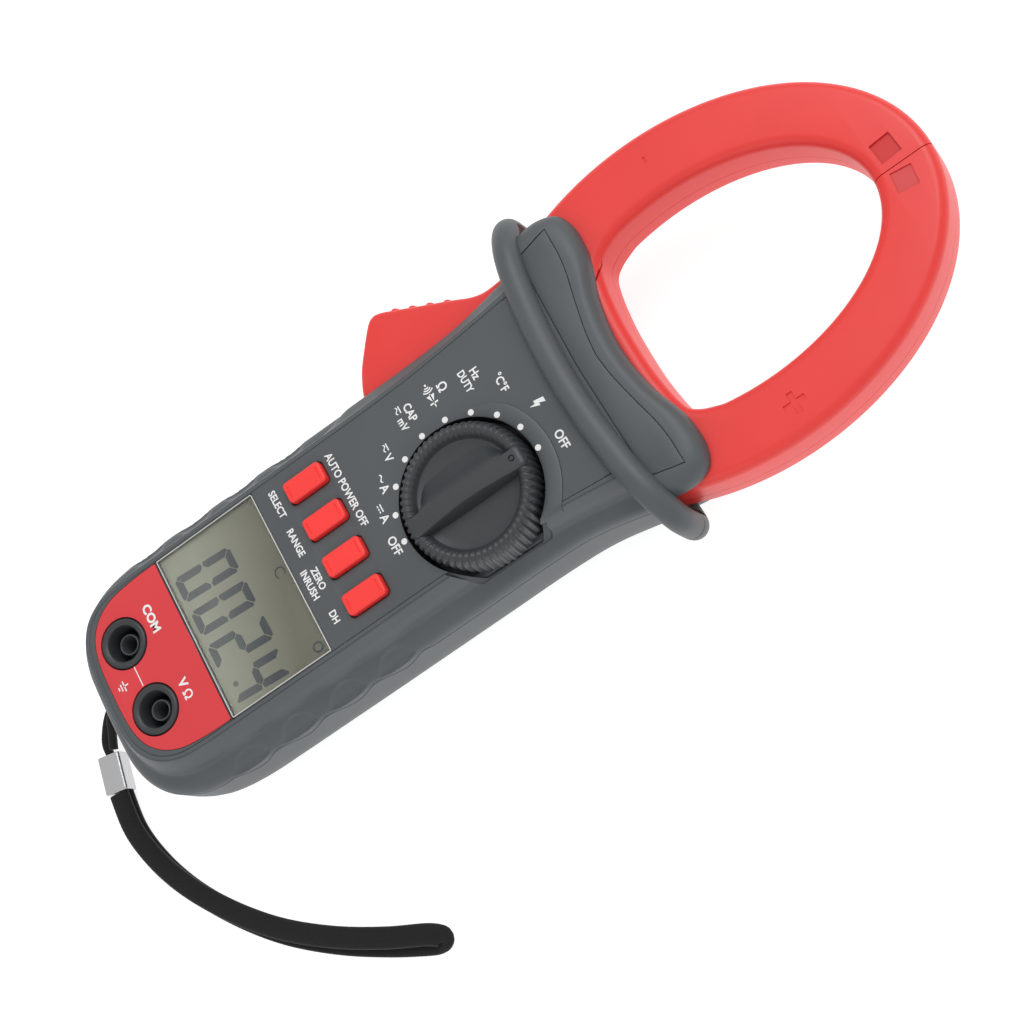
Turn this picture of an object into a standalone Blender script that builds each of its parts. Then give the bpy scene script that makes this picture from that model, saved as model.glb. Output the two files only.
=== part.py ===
"""Clamp meter: a hinged current jaw with its trigger, a rotary selector, four keys and a wrist strap.

The meter lies on its back. X runs to its right, Y towards the jaws and Z out of the front panel; the
origin is under the middle of the case. Sizes are in millimetres until a mesh is made of them.
"""

import math

import bmesh
import bpy
from mathutils import Matrix, Vector

MM = 0.001
GAP = 0.3

# Levels above the surface that the meter lies on
PANEL = 38.0
SEAM = 24.0
COVER_TOP = 38.9
KNOB_TOP = 43.0
WELL_FLOOR = 30.4
BOARD_LOW, BOARD_HIGH = 21.4, 23.0
JAW_FRONT, JAW_REAR = 33.6, 17.1
TRIGGER_FRONT, TRIGGER_REAR = 32.0, 19.0
CORE_FRONT, CORE_REAR = 30.8, 19.9

# Case
SIDE_WIDTH = 8.7
WALL = 2.2
GUARD_REACH, GUARD_RADIUS = 46.3, 3.4
GUARD_MID, GUARD_BOW = 25.0, 0.003

# Jaws
OUTER_CENTRE, OUTER_RADII = (0.0, 63.9), (43.5, 60.9)
INNER_CENTRE, INNER_RADII = (0.0, 65.5), (26.4, 43.8)
CORE_COVER = 4.8
TIP_SPLIT = 2.0
PIVOT = (-32.0, 29.0)
HUB_RADIUS = 19.5
PIN_RADIUS = 1.75

# Front panel
DIAL = (10.7, -8.65)
WELL_RADIUS, KNOB_RADIUS = 19.0, 17.7
NOTCH_X, NOTCH_HALF = 27.8, 8.4
WINDOW = (-23.0, 23.0, -88.75, -58.05)
KEY_PITCH, KEY_Y, KEY_SIZE = 11.0, -43.6, (5.8, 11.2)
JACKS = {"com": (-9.9, -106.4), "volt": (9.5, -106.4)}
JACK_RADIUS = 6.5
LABEL_TOP = -89.3

# Battery and its cover
BATTERY = (26.5, 48.5, 17.5)
BATTERY_Y = -69.5
COVER_SCREW_Y = -39.6
COVER_SIZE = (30.0, 66.0)

SCREWS = [(-19.0, -96.5), (19.0, -96.5), (-19.0, -33.6), (19.0, -33.6)]

# Wrist strap
LUG = (-13.0, -119.5, 5.6)
STRAP_WIDTH, STRAND_PITCH = 6.0, 2.6
LOOP_RADIUS = 1.1
CRIMP_START, CRIMP_END = (-0.6, -140.6), (9.6, -142.8)
STRAP_ROUTE = [
    (9.9, -142.9), (20.0, -143.5), (29.5, -141.6), (39.0, -137.8), (48.3, -132.2),
    (57.8, -124.8), (66.4, -116.2), (74.8, -105.0), (81.6, -93.4), (86.4, -83.4),
]


# ---------------------------------------------------------------- outlines

def smooth(points, steps=4):
    """Points on a curve that passes through every given point."""
    ends = [points[0]] + list(points) + [points[-1]]
    curve = []
    for a, b, c, d in zip(ends, ends[1:], ends[2:], ends[3:]):
        for step in range(steps):
            t = step / steps
            curve.append(tuple(
                0.5 * (2 * q + (r - p) * t + (2 * p - 5 * q + 4 * r - s) * t * t
                       + (3 * q - p - 3 * r + s) * t ** 3)
                for p, q, r, s in zip(a, b, c, d)
            ))
    return curve + [tuple(points[-1])]


def mirrored(right):
    """A closed outline from its right half, listed from the bottom middle to the top middle."""
    left = [(-x, y) for x, y in reversed(right) if x > 1e-6]
    return list(right) + left


def arc(centre, radii, start, end, count):
    """Points on an ellipse between two angles in degrees."""
    found = []
    for step in range(count + 1):
        angle = math.radians(start + (end - start) * step / count)
        found.append((centre[0] + radii[0] * math.cos(angle), centre[1] + radii[1] * math.sin(angle)))
    return found


def circle(centre, radius, count=32):
    return arc(centre, (radius, radius), 0, 360 - 360 / count, count - 1)


def rectangle(low_x, high_x, low_y, high_y, radius=0.0, count=3):
    if radius == 0:
        return [(low_x, low_y), (high_x, low_y), (high_x, high_y), (low_x, high_y)]
    outline = []
    corners = [(high_x, low_y, -90), (high_x, high_y, 0), (low_x, high_y, 90), (low_x, low_y, 180)]
    for x, y, start in corners:
        centre = (x - math.copysign(radius, x - (low_x + high_x) / 2),
                  y - math.copysign(radius, y - (low_y + high_y) / 2))
        outline += arc(centre, (radius, radius), start, start + 90, count)
    return outline


def inset(outline, amount):
    """The outline moved inwards, for an outline that runs anticlockwise."""
    moved = []
    for before, here, after in zip(outline[-1:] + outline[:-1], outline, outline[1:] + outline[:1]):
        along_in = (Vector(here) - Vector(before)).normalized()
        along_out = (Vector(after) - Vector(here)).normalized()
        normal = Vector((-along_in.y - along_out.y, along_in.x + along_out.x)).normalized()
        share = max(0.5, normal.dot(Vector((-along_in.y, along_in.x))))
        moved.append((here[0] + normal.x * amount / share, here[1] + normal.y * amount / share))
    return moved


def ellipse_x(centre, radii, y):
    """The half width of an ellipse at a height."""
    return radii[0] * math.sqrt(max(0.0, 1 - ((y - centre[1]) / radii[1]) ** 2))


def ellipse_angle(centre, radii, x):
    """The angle in degrees, in the upper half, at which an ellipse passes a given X."""
    return math.degrees(math.acos((x - centre[0]) / radii[0]))


def angle_at_height(centre, radii, y):
    """The angle in degrees, on the right side, at which an ellipse passes a given Y."""
    return math.degrees(math.asin((y - centre[1]) / radii[1]))


# ---------------------------------------------------------------- solids

def fresh_scene():
    for obj in list(bpy.data.objects):
        bpy.data.objects.remove(obj)
    collections = []
    for name in ("clamp_meter", "cutters"):
        collection = bpy.data.collections.new(name)
        bpy.context.scene.collection.children.link(collection)
        collections.append(collection)
    return collections


parts, cutters = fresh_scene()


def material(name, colour, roughness, metallic=0.0):
    found = bpy.data.materials.get(name)
    if found is None:
        found = bpy.data.materials.new(name)
        found.use_nodes = True
        shader = found.node_tree.nodes["Principled BSDF"]
        shader.inputs["Base Color"].default_value = (*colour, 1.0)
        shader.inputs["Roughness"].default_value = roughness
        shader.inputs["Metallic"].default_value = metallic
    return found


RUBBER = material("dark_grip", (0.085, 0.092, 0.098), 0.6)
CASE = material("dark_case", (0.10, 0.108, 0.113), 0.5)
RED = material("red_plastic", (0.75, 0.045, 0.035), 0.4)
KEY_RED = material("key_red", (0.95, 0.05, 0.045), 0.45)
LABEL = material("label_red", (0.68, 0.06, 0.08), 0.45)
BLACK = material("black_plastic", (0.02, 0.02, 0.022), 0.45)
CLEAR = material("window", (0.55, 0.55, 0.48), 0.1)
LCD = material("lcd", (0.25, 0.25, 0.19), 0.3)
WHITE = material("white_plastic", (0.75, 0.75, 0.72), 0.5)
GREEN = material("board", (0.02, 0.16, 0.07), 0.5)
STEEL = material("steel", (0.55, 0.55, 0.56), 0.3, 1.0)
BRASS = material("brass", (0.75, 0.55, 0.22), 0.3, 1.0)
IRON = material("iron", (0.25, 0.25, 0.26), 0.45, 1.0)
STRAP = material("strap", (0.012, 0.012, 0.012), 0.9)


def keep(name, mesh, look, helper=False):
    """An object for a mesh, among the parts or, as a hidden helper, among the cutters."""
    obj = bpy.data.objects.new(name, mesh)
    (cutters if helper else parts).objects.link(obj)
    if helper:
        obj.hide_render = True
        obj.display_type = "WIRE"
    else:
        mesh.materials.append(look)
    return obj


def mesh_of(bm, name):
    bmesh.ops.recalc_face_normals(bm, faces=bm.faces)
    mesh = bpy.data.meshes.new(name)
    bm.to_mesh(mesh)
    bm.free()
    return mesh


def welded_mesh(source, name):
    """The mesh of a curve object, with its loose caps welded on; the curve is removed."""
    bpy.context.view_layer.update()
    evaluated = source.evaluated_get(bpy.context.evaluated_depsgraph_get())
    mesh = bpy.data.meshes.new_from_object(evaluated)
    bm = bmesh.new()
    bm.from_mesh(mesh)
    bmesh.ops.remove_doubles(bm, verts=bm.verts, dist=1e-6)
    bpy.data.objects.remove(source)
    return mesh_of(bm, name)


def plate(name, outline, low, high, look=None, bevel=0.0, helper=False):
    """A flat outline made solid between two levels."""
    curve = bpy.data.curves.new(name, "CURVE")
    curve.dimensions = "2D"
    curve.fill_mode = "BOTH"
    curve.extrude = (high - low) / 2 * MM
    spline = curve.splines.new("POLY")
    spline.points.add(len(outline) - 1)
    for point, (x, y) in zip(spline.points, outline):
        point.co = (x * MM, y * MM, 0, 1)
    spline.use_cyclic_u = True
    source = bpy.data.objects.new(name + "_curve", curve)
    bpy.context.scene.collection.objects.link(source)
    mesh = welded_mesh(source, name)
    mesh.transform(Matrix.Translation((0, 0, (low + high) / 2 * MM)))
    obj = keep(name, mesh, look, helper)
    if bevel:
        rounding = obj.modifiers.new("rounding", "BEVEL")
        rounding.width = bevel * MM
        rounding.segments = 2
        rounding.limit_method = "ANGLE"
    return obj


def loft(name, sections, look=None, helper=False):
    """A solid through outlines of equal length, each at its own level."""
    bm = bmesh.new()
    rings = []
    for level, outline in sections:
        rings.append([bm.verts.new((x * MM, y * MM, level * MM)) for x, y in outline])
    for lower, upper in zip(rings, rings[1:]):
        for i in range(len(lower)):
            j = (i + 1) % len(lower)
            bm.faces.new((lower[i], lower[j], upper[j], upper[i]))
    bm.faces.new(reversed(rings[0]))
    bm.faces.new(rings[-1])
    return keep(name, mesh_of(bm, name), look, helper)


def rod(name, centre, radius, low, high, look=None, count=24, helper=False, end_radius=None):
    bm = bmesh.new()
    bmesh.ops.create_cone(
        bm, cap_ends=True, segments=count, radius1=radius * MM,
        radius2=(radius if end_radius is None else end_radius) * MM, depth=(high - low) * MM,
    )
    bmesh.ops.translate(bm, verts=bm.verts, vec=(centre[0] * MM, centre[1] * MM, (low + high) / 2 * MM))
    return keep(name, mesh_of(bm, name), look, helper)


def box(name, low, high, look=None, bevel=0.0, helper=False):
    bm = bmesh.new()
    bmesh.ops.create_cube(bm, size=1)
    size = [(b - a) * MM for a, b in zip(low, high)]
    middle = [(a + b) / 2 * MM for a, b in zip(low, high)]
    bmesh.ops.scale(bm, verts=bm.verts, vec=size)
    bmesh.ops.translate(bm, verts=bm.verts, vec=middle)
    obj = keep(name, mesh_of(bm, name), look, helper)
    if bevel:
        rounding = obj.modifiers.new("rounding", "BEVEL")
        rounding.width = bevel * MM
        rounding.segments = 2
    return obj


def tube(name, route, radius, look=None, resolution=2, helper=False, stretch=(1.0, 1.0)):
    """A round bar along a route; stretch flattens it, across and up."""
    curve = bpy.data.curves.new(name, "CURVE")
    curve.dimensions = "3D"
    curve.bevel_depth = radius * MM
    curve.bevel_resolution = resolution
    curve.use_fill_caps = True
    spline = curve.splines.new("POLY")
    spline.points.add(len(route) - 1)
    for point, place in zip(spline.points, route):
        point.co = (*(c * MM for c in place), 1)
    source = bpy.data.objects.new(name + "_curve", curve)
    bpy.context.scene.collection.objects.link(source)
    return keep(name, welded_mesh(source, name), look, helper)


def turned(name, centre, profile, look, steps=48):
    """A profile of (radius, height) points, turned about an upright axis."""
    mesh = bpy.data.meshes.new(name)
    mesh.from_pydata([(r * MM, 0, z * MM) for r, z in profile], [(i, i + 1) for i in range(len(profile) - 1)], [])
    obj = keep(name, mesh, look)
    obj.location = (centre[0] * MM, centre[1] * MM, 0)
    screw = obj.modifiers.new("turn", "SCREW")
    screw.steps = steps
    screw.render_steps = steps
    screw.use_merge_vertices = True
    screw.merge_threshold = 0.00001
    return obj


def cut(obj, *tools):
    for tool in tools:
        step = obj.modifiers.new("cut_" + tool.name, "BOOLEAN")
        step.operation = "DIFFERENCE"
        step.object = tool


def join(obj, *tools):
    for tool in tools:
        step = obj.modifiers.new("join_" + tool.name, "BOOLEAN")
        step.operation = "UNION"
        step.object = tool


# ---------------------------------------------------------------- shared outlines and cutters

def case_and_panel():
    """The case's outline at its seam, the grip's rim with matching points, and the panel's parting line."""
    pairs = [
        (0, -125.0, 0, -116.8), (7.5, -124.9, 5.8, -116.7), (14.5, -124.4, 11.3, -116.2),
        (21.0, -122.2, 16.0, -114.6), (26.6, -117.6, 19.9, -111.4), (30.3, -110.0, 22.4, -106.4),
        (31.8, -100.0, 23.2, -99.5), (32.0, -88.0, 23.3, -88.0), (32.0, -60.0, 23.3, -60.0),
        (31.8, -22.0, 23.3, -24.0), (31.6, -4.0, 23.7, -8.0), (32.1, 9.0, 24.5, 4.0),
        (34.2, 20.0, 25.3, 13.5), (37.2, 31.0, 26.0, 21.5),
    ]
    line = smooth(pairs, 2)
    case = mirrored([(x, y) for x, y, _, _ in line] + [(0, 31.0)])
    top = [(x, GUARD_MID - GUARD_RADIUS - 0.4 + GUARD_BOW * x * x) for x in (26.0, 0.0)]
    side = [(x, y) for _, _, x, y in line[:-1]]
    rim = mirrored(side + [(26.2, 27.5), (0, 27.5)])
    return case, rim, mirrored(side + [(26.0, top[0][1]), (0, top[1][1])])


def shoulder_outline():
    """The raised cover over the roots of the jaws."""
    side = smooth([
        (37.4, 27.0), (38.6, 33.0), (38.9, 38.5), (37.0, 43.2), (32.5, 45.2), (27.0, 45.3),
        (21.6, 44.3), (14.0, 41.7), (6.0, 40.2), (0, 39.8),
    ], 2)
    return mirrored([(0, 27.0)] + side)


CASE_LINE, RIM_LINE, PANEL_LINE = case_and_panel()
SHOULDER_LINE = shoulder_outline()
SIDE_PROFILE = [(22.0, 0.0), (25.0, 0.1), (27.0, 0.9), (29.0, 2.5), (30.3, 4.0), (31.5, 4.7), (34.5, 5.9),
                (37.0, 7.6), (PANEL, SIDE_WIDTH + 1.0)]


def tuck(amount):
    """The case's outline moved in towards the grip's rim."""
    share = amount / SIDE_WIDTH
    return [(x + (p - x) * share, y + (q - y) * share) for (x, y), (p, q) in zip(CASE_LINE, RIM_LINE)]


def shrink(amount):
    """The shoulder cover's outline made smaller, with its lower edge left under the guard."""
    return [(x * (1 - amount / 38.9), 27.0 + (y - 27.0) * (1 - amount / 18.3)) for x, y in SHOULDER_LINE]


REAR_EDGE = [(0.0, 9.0), (1.5, 5.5), (4.0, 2.8), (8.0, 1.2), (12.0, 0.2), (16.0, 0.0)]


def guard_route(side_low, side_high, mid_level, outward):
    """Half of the guard ring, from one side over the middle to the other; outward is +1 in front."""
    reach = GUARD_REACH - GUARD_RADIUS
    side = [(reach, side_low), (reach, side_high), (39.8, mid_level - 3.6 * outward),
            (33.5, mid_level - 0.8 * outward), (20.0, mid_level), (0.0, mid_level)]
    right = [(x, GUARD_MID + GUARD_BOW * x * x, z) for x, z in side]
    left = [(-x, y, z) for x, y, z in reversed(right[:-1])]
    return smooth(right + left, 3)


def guard_web(name, low, high):
    """Two solid webs that tie the sides of the guard to the case."""
    webs = []
    for side in (-1, 1):
        outline = []
        for x, offset in ((37.2, -2.8), (43.4, -2.8), (43.4, 2.8), (37.2, 2.8)):
            outline.append((side * x, GUARD_MID + GUARD_BOW * x * x + offset))
        if side < 0:
            outline.reverse()
        webs.append(plate(f"{name}_{'left' if side < 0 else 'right'}", outline, low, high, helper=True))
    return webs


def well_outline(grow=0.0):
    """The dial's well: a circle that opens straight at the case's right side."""
    radius = WELL_RADIUS + grow
    outline = arc(DIAL, (radius, radius), 59, 301, 28)
    return outline + [(NOTCH_X + grow, DIAL[1] - NOTCH_HALF), (NOTCH_X + grow, DIAL[1] + NOTCH_HALF)]


def turned_about_pivot(point, degrees):
    spin = Matrix.Rotation(math.radians(degrees), 2)
    moved = spin @ (Vector(point) - Vector(PIVOT)) + Vector(PIVOT)
    return (moved.x, moved.y)


JAW_BAY = plate("jaw_bay", [
    (-13.0, 16.0), (33.0, 16.0), (35.0, 22.0), (37.8, 31.0), (39.2, 31.6), (41.3, 33.6), (43.0, 35.2),
    (60, 36.5), (60, 80), (-60, 80), (-60, 36.5), (-43.6, 35.4), (-41.9, 33.0), (-39.6, 30.4),
    (-37.9, 29.4), (-37.0, 25.0), (-36.0, 12.0),
], JAW_REAR - GAP, JAW_FRONT + GAP, helper=True)
LEVER_BAY = plate("lever_bay", [
    (-60, -25.5), (-26.0, -25.5), (-9.6, -22.0), (-9.6, 6.0), (-12.0, 25.0), (-34.0, 22.5), (-60, 22.5),
], TRIGGER_REAR - GAP, TRIGGER_FRONT + GAP, helper=True)


# ---------------------------------------------------------------- case

def front_grip():
    grip = loft("front_grip", [(level, tuck(amount)) for level, amount in SIDE_PROFILE], RUBBER)
    cover = [(33.0, 0.0), (36.0, 0.5), (37.6, 1.7), (COVER_TOP, 4.2)]
    join(grip, loft("front_shoulder", [(z, shrink(amount)) for z, amount in cover], helper=True))
    join(grip, *guard_web("front_web", 22.0, 34.0))
    join(grip, tube("front_guard", guard_route(21.0, 31.0, 39.6, 1), GUARD_RADIUS, resolution=3, helper=True))
    cut(grip, plate("panel_room", inset(PANEL_LINE, -GAP), 10, 45, helper=True))
    cut(grip, plate("grip_hollow", tuck(2.6), 10, 26.8, helper=True))
    cut(grip, plate("grip_well", well_outline(1.5), 28.6, 45, helper=True))
    cut(grip, JAW_BAY, LEVER_BAY)
    cut(grip, plate("shoulder_pocket", inset(shoulder_panel_outline(), -GAP), COVER_TOP - 1.2, 45, helper=True))
    cut(grip, box("below_seam", (-90, -150, -10), (90, 150, SEAM + GAP / 2), helper=True))


def shoulder_panel_outline():
    side = [(0, 31.2), (32.0, 34.0), (34.2, 39.0), (22.4, 40.2), (13.0, 37.2), (0, 35.6)]
    return mirrored(side)


def shoulder_panel():
    plate("shoulder_panel", shoulder_panel_outline(), COVER_TOP - 0.9, COVER_TOP, CASE)


def front_case():
    """The hard moulding whose top is the face panel, with its flange, dial well and key holes."""
    case = plate("front_case", PANEL_LINE, SEAM + 0.5, PANEL, CASE)
    flange = plate("flange", tuck(3.0), SEAM + 0.5, SEAM + 2.2, helper=True)
    join(case, flange)
    cut(case, plate("case_hollow", inset(PANEL_LINE, 1.7), 20, PANEL - 1.8, helper=True))
    wall = plate("well_wall", well_outline(1.2), WELL_FLOOR - 1.5, PANEL - 0.4, helper=True)
    cut(wall, box("beyond_panel", (23.2, -60, WELL_FLOOR), (60, 60, 60), helper=True))
    join(case, wall)
    cut(case, plate("well", well_outline(), WELL_FLOOR, 45, helper=True))
    cut(case, rod("stem_hole", DIAL, 4.3, 20, 45, helper=True))
    low_x, high_x, low_y, high_y = WINDOW
    cut(case, box("window_ledge", (-30, low_y - GAP, PANEL - 1.7), (30, high_y + GAP, 45), helper=True))
    cut(case, box("window_hole", (-20.3, low_y + 1.6, 20), (20.3, high_y - 1.6, 45), helper=True))
    cut(case, plate("label_ledge", inset(label_outline(), -GAP), PANEL - 0.9, 45, helper=True))
    for index in range(4):
        hole = key_outline(index, 0.35)
        cut(case, plate(f"key_hole_{index + 1}", hole, 20, 45, helper=True))
    for name, place in JACKS.items():
        cut(case, rod(f"{name}_hole", place, JACK_RADIUS + GAP, 20, 45, helper=True))
    for index, (x, y) in enumerate(SCREWS):
        boss = rod(f"front_boss_{index + 1}", (x, y), 3.2, SEAM + 0.5, SEAM + 8.5, helper=True, count=16)
        join(case, boss)
        cut(case, rod(f"front_screw_hole_{index + 1}", (x, y), 1.5, 20, SEAM + 6.5, helper=True, count=16))
    cut(case, JAW_BAY, LEVER_BAY)


def rear_case():
    case = loft("rear_case", [(z, tuck(amount)) for z, amount in REAR_EDGE + [(26.0, 0.0)]], CASE)
    shoulder = [(0.0, 6.5), (1.5, 3.6), (4.0, 1.5), (8.0, 0.3), (18.0, 0.0)]
    join(case, loft("rear_shoulder", [(z, shrink(amount)) for z, amount in shoulder], helper=True))
    join(case, *guard_web("rear_web", 7.0, 26.0))
    join(case, tube("rear_guard", guard_route(27.0, 18.0, GUARD_RADIUS, -1), GUARD_RADIUS, resolution=3,
                    helper=True))
    hollow = [(2.2, 8.4), (5.0, 4.8), (10.0, 3.2), (30.0, WALL)]
    cut(case, loft("rear_hollow", [(z, tuck(amount)) for z, amount in hollow], helper=True))
    cut(case, rod("spring_pocket", PIVOT, 3.9, 4.5, 40, helper=True, count=20))
    join(case, box("lug_block", (LUG[0] - 8.0, -121.2, 1.2), (LUG[0] + 8.0, -110.8, 13.0), helper=True))
    cut(case, box("lug_pocket", (LUG[0] - 5.2, -140, -5), (LUG[0] + 5.2, LUG[1] + 5.4, 10.6), helper=True))
    cut(case, rod_x("lug_bar_hole", (LUG[1], LUG[2]), 1.5, LUG[0] - 7.4, LUG[0] + 7.4, helper=True))
    cut(case, JAW_BAY, LEVER_BAY)
    half_x, half_y = COVER_SIZE[0] / 2 + GAP, COVER_SIZE[1] / 2 + GAP
    cut(case, box("battery_mouth", (-half_x, BATTERY_Y - half_y, -5), (half_x, BATTERY_Y + half_y, 8),
                  helper=True))
    join(case, box("cover_ledge", (-9.0, -41.2, 2.5), (9.0, -32.0, 8.0), helper=True))
    join(case, box("cover_ledge_foot", (-9.0, -35.9, 1.0), (9.0, -32.0, 3.0), helper=True))
    cut(case, rod("cover_screw_seat", (0, COVER_SCREW_Y), 1.55, -5, 7.2, helper=True, count=16))
    for index, (x, y) in enumerate(SCREWS):
        join(case, rod(f"rear_boss_{index + 1}", (x, y), 3.6, 1.2, SEAM - 0.4, helper=True, count=16))
        cut(case, rod(f"screw_well_{index + 1}", (x, y), 2.9, -5, 12.3, helper=True, count=16))
        cut(case, rod(f"rear_screw_hole_{index + 1}", (x, y), 1.6, -5, 40, helper=True, count=16))
    cut(case, rod("pin_seat", PIVOT, PIN_RADIUS + GAP, 2.5, 40, helper=True, count=20))
    cut(case, box("above_seam", (-90, -150, SEAM - GAP / 2), (90, 150, 90), helper=True))


def rod_x(name, centre, radius, low, high, look=None, helper=False):
    """A round bar along X through a point given by its Y and Z."""
    obj = rod(name, (0, 0), radius, low, high, look, 16, helper)
    obj.data.transform(Matrix.Rotation(math.radians(90), 4, "Y"))
    obj.data.transform(Matrix.Translation((0, centre[0] * MM, centre[1] * MM)))
    return obj


def battery_group():
    width, length, height = BATTERY
    low_z = 2.6
    box("battery", (-width / 2, BATTERY_Y - length / 2, low_z),
        (width / 2, BATTERY_Y + length / 2, low_z + height), STEEL, bevel=1.2)
    end = BATTERY_Y + length / 2 + GAP
    box("battery_snap", (-11.0, end, low_z + 2.5), (11.0, end + 3.2, low_z + height - 2.5), BLACK, bevel=0.6)
    half_x, half_y = COVER_SIZE[0] / 2, COVER_SIZE[1] / 2
    cover = plate("battery_cover", rectangle(-half_x, half_x, BATTERY_Y - half_y, BATTERY_Y + half_y),
                  0.0, 2.2, CASE)
    cut(cover, rod("cover_screw_well", (0, COVER_SCREW_Y), 3.1, -5, 1.4, helper=True, count=20))
    cut(cover, rod("cover_screw_hole", (0, COVER_SCREW_Y), 1.6, -5, 5, helper=True, count=16))
    screw("battery_cover_screw", (0, COVER_SCREW_Y), -0.9, 6.2)


def screw(name, place, seat, tip):
    """A pan-head screw that points up, with a slot in its head."""
    head = rod(name, place, 2.4, seat + 1.2, seat + 2.0, STEEL, 20)
    shank = rod(name + "_shank", place, 1.25, seat + 1.9, tip, helper=True, count=12)
    join(head, shank)


# ---------------------------------------------------------------- face

def key_outline(index, grow=0.0):
    x = (index - 1.5) * KEY_PITCH
    half_x, half_y = KEY_SIZE[0] / 2 + grow, KEY_SIZE[1] / 2 + grow
    return rectangle(x - half_x, x + half_x, KEY_Y - half_y, KEY_Y + half_y, 1.2 + grow)


def keys():
    for index in range(4):
        name = f"key_{index + 1}"
        key = plate(name, key_outline(index), 29.0, 39.6, KEY_RED)
        foot = plate(name + "_foot", key_outline(index, 1.0), 29.2, 30.6, helper=True)
        join(key, foot)


def display():
    low_x, high_x, low_y, high_y = WINDOW
    box("display_window", (low_x, low_y, PANEL - 1.4), (high_x, high_y, PANEL), CLEAR)
    box("display_glass", (-19.6, low_y + 2.4, 33.4), (19.6, high_y - 2.4, 35.9), LCD)
    frame = box("display_frame", (-20.6, low_y - 2.6, 29.6), (20.6, high_y + 2.6, 33.0), WHITE)
    cut(frame, box("frame_opening", (-17.0, low_y + 5.4, 20), (17.0, high_y - 5.4, 40), helper=True))
    cut(frame, box("strip_slot", (-18.4, low_y + 0.8, 20), (18.4, low_y + 3.8, 40), helper=True))
    box("backlight", (-16.6, low_y + 5.8, 29.6), (16.6, high_y - 5.8, 32.6), WHITE)
    box("contact_strip", (-18.0, low_y + 2.7 - 1.4, BOARD_HIGH + GAP), (18.0, low_y + 3.5, 33.1), BLACK)


def label_outline():
    side = [(0, -115.2), (6.0, -115.1), (11.0, -114.6), (15.6, -112.9), (19.2, -109.6), (21.6, -104.8),
            (22.4, -98.0), (22.5, LABEL_TOP), (0, LABEL_TOP)]
    return mirrored(side)


def terminal_block():
    """The red label and, for each test lead, an insulated shroud round a contact tube."""
    label = plate("terminal_label", label_outline(), PANEL - 0.6, PANEL, LABEL)
    for name, place in JACKS.items():
        cut(label, rod(f"{name}_label_hole", place, JACK_RADIUS + GAP, 20, 45, helper=True))
        shroud = rod(f"{name}_shroud", place, JACK_RADIUS, BOARD_HIGH + GAP, PANEL + 0.3, BLACK, 32)
        cut(shroud, rod(f"{name}_bore", place, 4.45, BOARD_HIGH + 3.0, 45, helper=True, count=32))
        cut(shroud, rod(f"{name}_tail_hole", place, 1.3, 20, 45, helper=True, count=16))
        contact = rod(f"{name}_contact", place, 2.75, BOARD_HIGH + 3.3, PANEL - 1.9, BRASS, 24)
        join(contact, rod(f"{name}_tail", place, 1.0, BOARD_HIGH + GAP, BOARD_HIGH + 4.0, helper=True, count=12))
        cut(contact, rod(f"{name}_contact_bore", place, 2.0, BOARD_HIGH + 5.0, 45, helper=True, count=24))


def selector():
    """The knob, its wiper carrier and the sprung contacts that sweep the board."""
    rim = KNOB_RADIUS
    profile = [(0.0, 39.9), (13.2, 39.9), (13.9, 41.6), (15.2, 42.4), (16.6, 41.8), (rim, 39.6), (rim, 32.6),
               (rim - 0.6, 31.0), (3.9, 31.0), (3.9, 26.8), (0.0, 26.8)]
    knob = turned("dial_knob", DIAL, profile, BLACK)
    bar = plate("knob_bar", rectangle(-3.0, 3.0, -15.6, 16.6, 1.5), 38.5, KNOB_TOP, helper=True)
    bar.location = (DIAL[0] * MM, DIAL[1] * MM, 0)
    join(knob, bar)
    rod("wiper_disc", DIAL, 10.4, 24.4, 26.5, WHITE, 32)
    plate("wiper_contact", rectangle(DIAL[0] - 1.6, DIAL[0] + 1.6, DIAL[1] - 9.8, DIAL[1] + 9.8, 1.2),
          23.5, 24.1, BRASS)
    rod("detent_ball", (DIAL[0] - 8.0, DIAL[1]), 1.1, 26.8, 28.6, STEEL, 16)


# ---------------------------------------------------------------- electronics

def electronics():
    board_line = [(-22.0, -118.0), (22.0, -118.0), (27.4, -108.0), (27.4, 12.0), (-5.0, 12.0), (-8.0, -3.0),
                  (-8.0, -26.5), (-27.4, -30.0), (-27.4, -108.0)]
    board = plate("main_board", board_line, BOARD_LOW, BOARD_HIGH, GREEN)
    for index, (x, y) in enumerate(SCREWS):
        cut(board, rod(f"board_hole_{index + 1}", (x, y), 4.2, 15, 30, helper=True, count=16))
    box("meter_chip", (-14.0, -38.0, BOARD_LOW - 2.2), (2.0, -29.0, BOARD_LOW - GAP), BLACK, bevel=0.3)
    rod("buzzer", (14.0, -24.0), 6.0, BOARD_LOW - 6.0, BOARD_LOW - GAP, BLACK, 28)
    rod("crystal", (-17.5, -41.5), 1.6, BOARD_LOW - 5.5, BOARD_LOW - GAP, STEEL, 16)
    box("input_fuse", (-10.0, -103.5, BOARD_LOW - 5.5), (10.0, -98.5, BOARD_LOW - GAP), WHITE, bevel=1.0)
    mat = plate("key_mat", rectangle(-21.0, 21.0, KEY_Y - 6.0, KEY_Y + 6.0, 2.0), BOARD_HIGH + GAP,
                BOARD_HIGH + 1.6, BLACK)
    for index in range(4):
        x = (index - 1.5) * KEY_PITCH
        join(mat, rod(f"dome_{index + 1}", (x, KEY_Y), 2.6, BOARD_HIGH + 1.0, 27.6, helper=True, count=20,
                      end_radius=1.8))


# ---------------------------------------------------------------- jaws

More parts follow.
